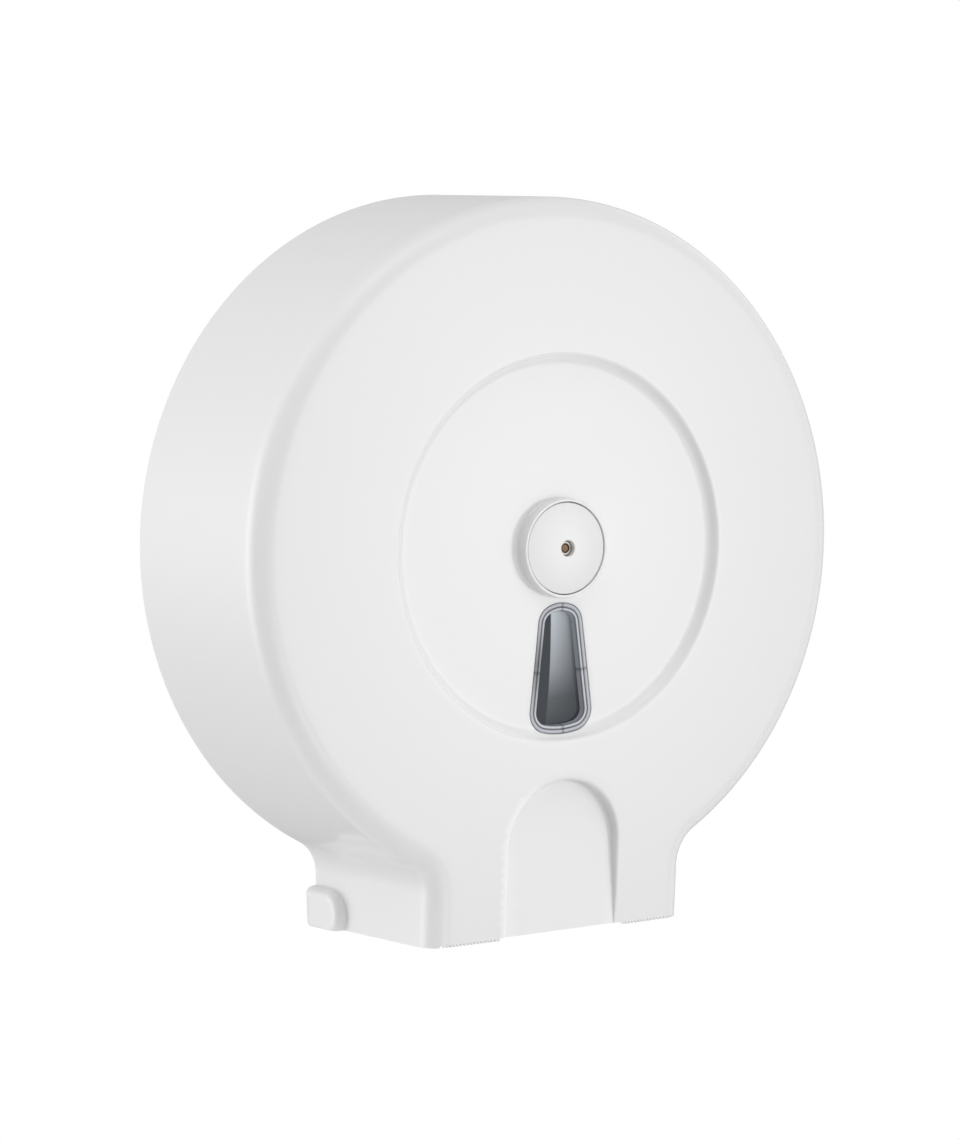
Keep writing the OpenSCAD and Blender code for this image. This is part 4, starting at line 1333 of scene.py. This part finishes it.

# %% [markdown]
# Two more painted marks change the shade along the rim. Its left side is painted darker near the middle,
# as shade from the dark inside of the casing, and where the four clips hold the window it gets short
# painted dark ticks.

# %% Painted shade of the rim
SIDE_DARK, SIDE_MIDDLE, SIDE_REACH = 0.55, 0.46, 0.24
TICK_DARK, TICK_DOWN, TICK_X, TICK_WIDTH = 0.6, 0.52, 1.5, 0.7

shade = np.repeat([row[2] for row in RIM_ROWS], len(window_path))
down = np.tile((-window_path[:, 1] - WINDOW_TOP) / WINDOW_H, len(RIM_ROWS))
x = np.tile(window_path[:, 0], len(RIM_ROWS))
# painted shade: the left side darker near the middle, and dark ticks at the clips
shade *= 1 - SIDE_DARK * bell(down - SIDE_MIDDLE, SIDE_REACH) * (x < 0)
tick = np.minimum(np.abs(down - TICK_DOWN) * WINDOW_H, np.abs(x - TICK_X))
shade *= 1 - TICK_DARK * bell(tick, TICK_WIDTH)
rim_points, rim_faces, shade = weld(rim_points, rim_faces, shade)
rim_points = rim_points * [1, -1, 1]
print("shades from", round(float(shade.min()), 2), "to", round(float(shade.max()), 2))

# %% [markdown]
# The rim's material turns the painted shade into a cool grey by scaling one colour, and a very fine bump
# breaks up its reflections.

# %% Rim material and object
RIM_COLOUR = (0.76, 0.79, 0.86)

rim_mat, rim_tree, rim_shader = new_material("clear_rim", (0.5, 0.5, 0.5), 0.12, IOR=ACRYLIC_IOR)
shade_node = rim_tree.nodes.new("ShaderNodeAttribute")
shade_node.attribute_name = "shade"
tint = rim_tree.nodes.new("ShaderNodeVectorMath")
tint.operation = "SCALE"
tint.inputs[0].default_value = RIM_COLOUR
rim_tree.links.new(shade_node.outputs["Fac"], tint.inputs["Scale"])
rim_tree.links.new(tint.outputs["Vector"], rim_shader.inputs["Base Color"])
add_bump(rim_tree, rim_shader, add_noise(rim_tree, 700, 2), 2e-5)
rim_faces = outward(rim_points, rim_faces)
window_rim = make_object("window_rim", rim_points, rim_faces, rim_mat, "cover")
store(window_rim, "shade", shade)
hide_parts("inspection_window")
print("window rim:", len(rim_faces), "triangles,", len(open_edges(rim_faces)), "open edges")

# %% [markdown]
# The pane is a thin slab that lies deeper than the rim. Its front and rear are two skins with
# one layout, as the cover's are, so it is closed in the same way.

# %% Window pane
PANE_SUNK, PANE_INSET, PANE_THICK = 3.6, 4.25, 1.2
PANE_SPACING = 2.0

pane_line = window_path - window_out * PANE_INSET
flat, flat_faces = fill([pane_line], [], PANE_SPACING)
pane_front = np.stack([flat[:, 0], PANE_SUNK - window_plane(flat[:, 1]), flat[:, 1]], 1)
pane_points = np.vstack([pane_front, pane_front + [0, PANE_THICK, 0]])
pane_faces = between_skins(facing(pane_front, flat_faces, FORWARD), len(flat))
print("pane:", len(pane_faces), "triangles,", len(open_edges(pane_faces)), "open edges")

# %% [markdown]
# A smoked pane over a dark inside shows little of its own colour and much of the room: a band of soft
# light that fades downwards and ends in a slanting edge on the left. Traced, that band would move with
# every light, and here it should stay. So the pane is painted nearly black, its smoke and the shade of
# the dark inside in one colour, and the band is a painted sheen: two numbers on its points, the way down
# and the distance from the slanting edge, tell the material where the painted sheen is. These helpers
# keep its node tree readable.

# %% Helpers for the pane's material
PANE_IOR = 1.2
pane_mat, pane_tree, pane_shader = new_material(
    "smoked_pane_painted_sheen", (0.05, 0.055, 0.06), 0.09, IOR=PANE_IOR
)


def pane_node(kind, **settings):
    """A node of the pane's material, with its settings."""
    node = pane_tree.nodes.new(kind)
    for key, value in settings.items():
        setattr(node, key, value)
    return node


def pane_range(source, low, high, to_low=0.0, to_high=1.0):
    """Maps a value from one span to another, with its ends held."""
    node = pane_node("ShaderNodeMapRange")
    for key, value in (("From Min", low), ("From Max", high), ("To Min", to_low), ("To Max", to_high)):
        node.inputs[key].default_value = value
    pane_tree.links.new(source, node.inputs["Value"])
    return node.outputs["Result"]


def pane_times(a, b):
    """Product of two values in the pane's material."""
    node = pane_node("ShaderNodeMath", operation="MULTIPLY")
    pane_tree.links.new(a, node.inputs[0])
    pane_tree.links.new(b, node.inputs[1])
    return node.outputs[0]


print("the pane's refraction of", PANE_IOR, "keeps its mirror image weak")

# %% [markdown]
# The painted sheen is a ramp of greys down the pane, laid over the painted dark. Its strength rises
# quickly at the slanting edge and falls slowly towards the right.

# %% Painted sheen of the pane
# the pane away from the sheen: the smoke's grey with painted shade of the dark inside
PANE_DARK = (0.047, 0.053, 0.062, 1)
SHEEN_TOP, SHEEN_END = (0.62, 0.67, 0.72, 1), (0.066, 0.075, 0.085, 1)
SHEEN_GREYS = ((0.12, 0.58), (0.33, 0.46), (0.5, 0.36), (0.66, 0.21), (0.76, 0.125))
COOL = (0.93, 1.0, 1.08)
EDGE_FROM, EDGE_TO = -0.2, 0.25
FALL_FROM, FALL_TO, FALL_LEFT = 1.5, 15.0, 0.3

from_edge = pane_node("ShaderNodeAttribute", attribute_name="from_edge").outputs["Fac"]
way_down = pane_node("ShaderNodeAttribute", attribute_name="down").outputs["Fac"]
sheen = pane_node("ShaderNodeValToRGB")
ramp = sheen.color_ramp
ramp.elements[0].position, ramp.elements[0].color = 0.0, SHEEN_TOP
ramp.elements[1].position, ramp.elements[1].color = 1.0, SHEEN_END
for position, grey in SHEEN_GREYS:
    ramp.elements.new(position).color = (*(grey * tone for tone in COOL), 1)
pane_tree.links.new(way_down, sheen.inputs["Fac"])
starts_at_edge = pane_range(from_edge, EDGE_FROM, EDGE_TO)
falls_right = pane_range(from_edge, FALL_FROM, FALL_TO, 1.0, FALL_LEFT)
mixed = pane_node("ShaderNodeMix", data_type="RGBA")
colour_in = [socket for socket in mixed.inputs if socket.type == "RGBA"]
colour_in[0].default_value = PANE_DARK
pane_tree.links.new(pane_times(starts_at_edge, falls_right), mixed.inputs[0])
pane_tree.links.new(sheen.outputs["Color"], colour_in[1])
colour_out = next(socket for socket in mixed.outputs if socket.type == "RGBA")
pane_tree.links.new(colour_out, pane_shader.inputs["Base Color"])
print("sheen:", len(ramp.elements), "greys down the pane")

# %% [markdown]
# The numbers that place the painted sheen come from the pane's own points: the share of the way down the
# window, and the distance sideways from a line that bends to the left as it goes down.

# %% Pane object
SHEEN_START, SHEEN_LENGTH = 0.07, 0.87
SLANT_X, SLANT_REACH, SLANT_BEND = 3.2, 4.4, 2.5

pane = make_object("window_pane", pane_points, pane_faces, pane_mat, "cover")
share = (-pane_points[:, 2] - WINDOW_TOP) / WINDOW_H
slant = pane_points[:, 0] + SLANT_X + SLANT_REACH * share**SLANT_BEND
store(pane, "down", (share - SHEEN_START) / SHEEN_LENGTH)
store(pane, "from_edge", slant)
print("sheen edge between", round(float(-slant.max()), 1), "and", round(float(-slant.min()), 1), "mm")

# %% [markdown]
# ## Stage, light and camera
# A white part on a white ground needs an even ground that doesn't wash the part out. A floor
# that the camera sees as pure white, but that scatters light as a plain white sheet would,
# does both. It lies far below, so that no shadow falls on it.

# %% Floor
FLOOR_Z, FLOOR_HALF = -2000.0, 2000.0

floor_mat, floor_tree, floor_shader = new_material("floor", (0.9, 0.9, 0.9), 0.6)
floor_ray = floor_tree.nodes.new("ShaderNodeLightPath")
plain_white = floor_tree.nodes.new("ShaderNodeEmission")
plain_white.inputs["Strength"].default_value = 1.0
floor_mix = floor_tree.nodes.new("ShaderNodeMixShader")
floor_out = next(n for n in floor_tree.nodes if n.type == "OUTPUT_MATERIAL")
floor_tree.links.new(floor_ray.outputs["Is Camera Ray"], floor_mix.inputs[0])
floor_tree.links.new(floor_shader.outputs[0], floor_mix.inputs[1])
floor_tree.links.new(plain_white.outputs[0], floor_mix.inputs[2])
floor_tree.links.new(floor_mix.outputs[0], floor_out.inputs["Surface"])
corners = np.array([[-1, -1], [1, -1], [1, 1], [-1, 1]]) * FLOOR_HALF
floor_points = np.column_stack([corners, np.full(4, FLOOR_Z)])
floor = make_object("floor", floor_points, np.array([[0, 1, 2, 3]]), floor_mat)
print("floor:", 2 * FLOOR_HALF * MM, "m wide,", -FLOOR_Z * MM, "m below the axis")

# %% [markdown]
# Glossy white plastic is shaped almost wholly by what it mirrors, so the light is a room of
# soft boxes with no hard edges. Lamps would each add a bright spot and a noisy shadow.
# Instead the world's brightness is a sum of soft lobes, one for each box: e to the power of
# the narrowness times the cosine between the ray and the box, less one. The one negative
# lobe is a flag, which studios use to take light away.

# %% Soft boxes
AMBIENT = 0.43

# each soft box: azimuth from the front (left is negative), elevation, narrowness, brightness
SOFT_BOXES = {
    "front key": (26, 4, 12, 1.0),
    "front right": (34, -5, 36, 2.2),
    "front low": (-9, -24, 30, 1.3),
    "top": (-31, 70, 10, 1.5),
    "left high": (-104, 49, 30, 1.0),
    "left rear": (-122, 2, 12, 2.9),
    "left flag": (-80, -4, 22, -0.42),
    "low fill": (0, -62, 6, 0.4),
    "left rear low": (-114, -27, 30, 0.3),
    "rear right": (147, 11, 12, 0.15),
    "right side": (78, 0, 16, 0.35),
    "right low": (90, -18, 16, 0.2),
    "right rear": (111, 23, 20, 0.6),
}
world = bpy.data.worlds.new("studio")
bpy.context.scene.world = world
world.use_nodes = True
tree = world.node_tree
ray = tree.nodes.new("ShaderNodeTexCoord")


def math_node(operation, *values):
    """A Math node whose inputs are numbers or other nodes' outputs; returns its output."""
    node = tree.nodes.new("ShaderNodeMath")
    node.operation = operation
    for socket, value in zip(node.inputs, values):
        if isinstance(value, (int, float)):
            socket.default_value = value
        else:
            tree.links.new(value, socket)
    return node.outputs[0]


def direction(azimuth, elevation):
    """Unit vector towards an azimuth from the front and an elevation, in radians."""
    flat = np.cos(elevation)
    return np.array([np.sin(azimuth) * flat, -np.cos(azimuth) * flat, np.sin(elevation)])


total = AMBIENT
for azimuth, elevation, narrow, brightness in SOFT_BOXES.values():
    cosine = tree.nodes.new("ShaderNodeVectorMath")
    cosine.operation = "DOT_PRODUCT"
    tree.links.new(ray.outputs["Generated"], cosine.inputs[0])
    cosine.inputs[1].default_value = direction(*np.radians([azimuth, elevation]))
    power = math_node("MULTIPLY_ADD", cosine.outputs["Value"], narrow, -narrow)
    total = math_node("MULTIPLY_ADD", math_node("EXPONENT", power), brightness, total)
print("soft boxes:", len(SOFT_BOXES))

# %% [markdown]
# The lobes light the part, and the camera sees plain white behind it. A mix between two
# backgrounds does that, switched by the kind of ray.

# %% World
studio = tree.nodes["Background"]
studio.inputs["Color"].default_value = (1, 1, 1, 1)
tree.links.new(total, studio.inputs["Strength"])
backdrop = tree.nodes.new("ShaderNodeBackground")
backdrop.inputs["Color"].default_value = (1, 1, 1, 1)
seen = tree.nodes.new("ShaderNodeLightPath")
mix = tree.nodes.new("ShaderNodeMixShader")
tree.links.new(seen.outputs["Is Camera Ray"], mix.inputs[0])
tree.links.new(studio.outputs[0], mix.inputs[1])
tree.links.new(backdrop.outputs[0], mix.inputs[2])
tree.links.new(mix.outputs[0], tree.nodes["World Output"].inputs["Surface"])
print("world:", world.name, "with", len(tree.nodes), "nodes")

# %% [markdown]
# One weak area light in front, high and to the right, gives the small parts a direction: it
# draws a soft shadow under the lock and along the edges of the window.

# %% Key light
KEY_PLACE, KEY_TARGET = np.array([0.9, -2.6, 1.4]), np.array([0, -0.06, 0])
KEY_SIZE, KEY_POWER = 1.6, 0.2


def aimed(place, back, roll=0.0):
    """Matrix of a light or camera at a place. Its z axis is the direction back from what it
    looks at, x is level before the roll, and the roll turns x towards y."""
    right = np.cross([0, 0, 1.0], back)
    right /= np.linalg.norm(right)
    up = np.cross(back, right)
    matrix = np.eye(4)
    matrix[:3, 0] = right * np.cos(roll) + up * np.sin(roll)
    matrix[:3, 1] = up * np.cos(roll) - right * np.sin(roll)
    matrix[:3, 2] = back
    matrix[:3, 3] = place
    return Matrix(matrix.tolist())


key_data = bpy.data.lights.new("key", "AREA")
key_data.size, key_data.energy = KEY_SIZE, KEY_POWER
key_light = bpy.data.objects.new("key", key_data)
bpy.context.scene.collection.objects.link(key_light)
key_back = KEY_PLACE - KEY_TARGET
key_light.matrix_world = aimed(KEY_PLACE, key_back / np.linalg.norm(key_back))
print("key light:", round(float(np.linalg.norm(key_back)), 2), "m away")

# %% [markdown]
# The camera stands low on the left and far away with a long lens, as product pictures are
# taken, so that the round casing stays round. The lens is given in pixels of the picture's
# height, and the shift moves the picture's centre without tilting the camera.

# %% Camera
TARGET = np.array([8.52, -60.0, -4.88]) * MM
AZIMUTH, ELEVATION, ROLL = np.radians([-34.02, 5.31, -1.42])
DISTANCE = 2.69224
FOCAL_PX, CENTRE_PX = 5361.76, (511.21, 549.12)
WIDTH, HEIGHT = 960, 1140
SENSOR_MM = 36.0

camera_data = bpy.data.cameras.new("camera")
camera_data.sensor_width = SENSOR_MM
camera_data.lens = FOCAL_PX * SENSOR_MM / HEIGHT
camera_data.shift_x = (WIDTH / 2 - CENTRE_PX[0]) / HEIGHT
camera_data.shift_y = (CENTRE_PX[1] - HEIGHT / 2) / HEIGHT
camera_data.dof.use_dof = False
camera = bpy.data.objects.new("camera", camera_data)
bpy.context.scene.collection.objects.link(camera)
camera_back = direction(AZIMUTH, ELEVATION)
camera.matrix_world = aimed(TARGET + camera_back * DISTANCE, camera_back, ROLL)
bpy.context.scene.camera = camera
bpy.context.scene.view_settings.view_transform = "Standard"
print("lens:", round(camera_data.lens, 1), "mm at", round(DISTANCE, 2), "m")

# %% [markdown]
# Last, a line is printed to say that the script has finished.

# %% Finish
print("scene finished")
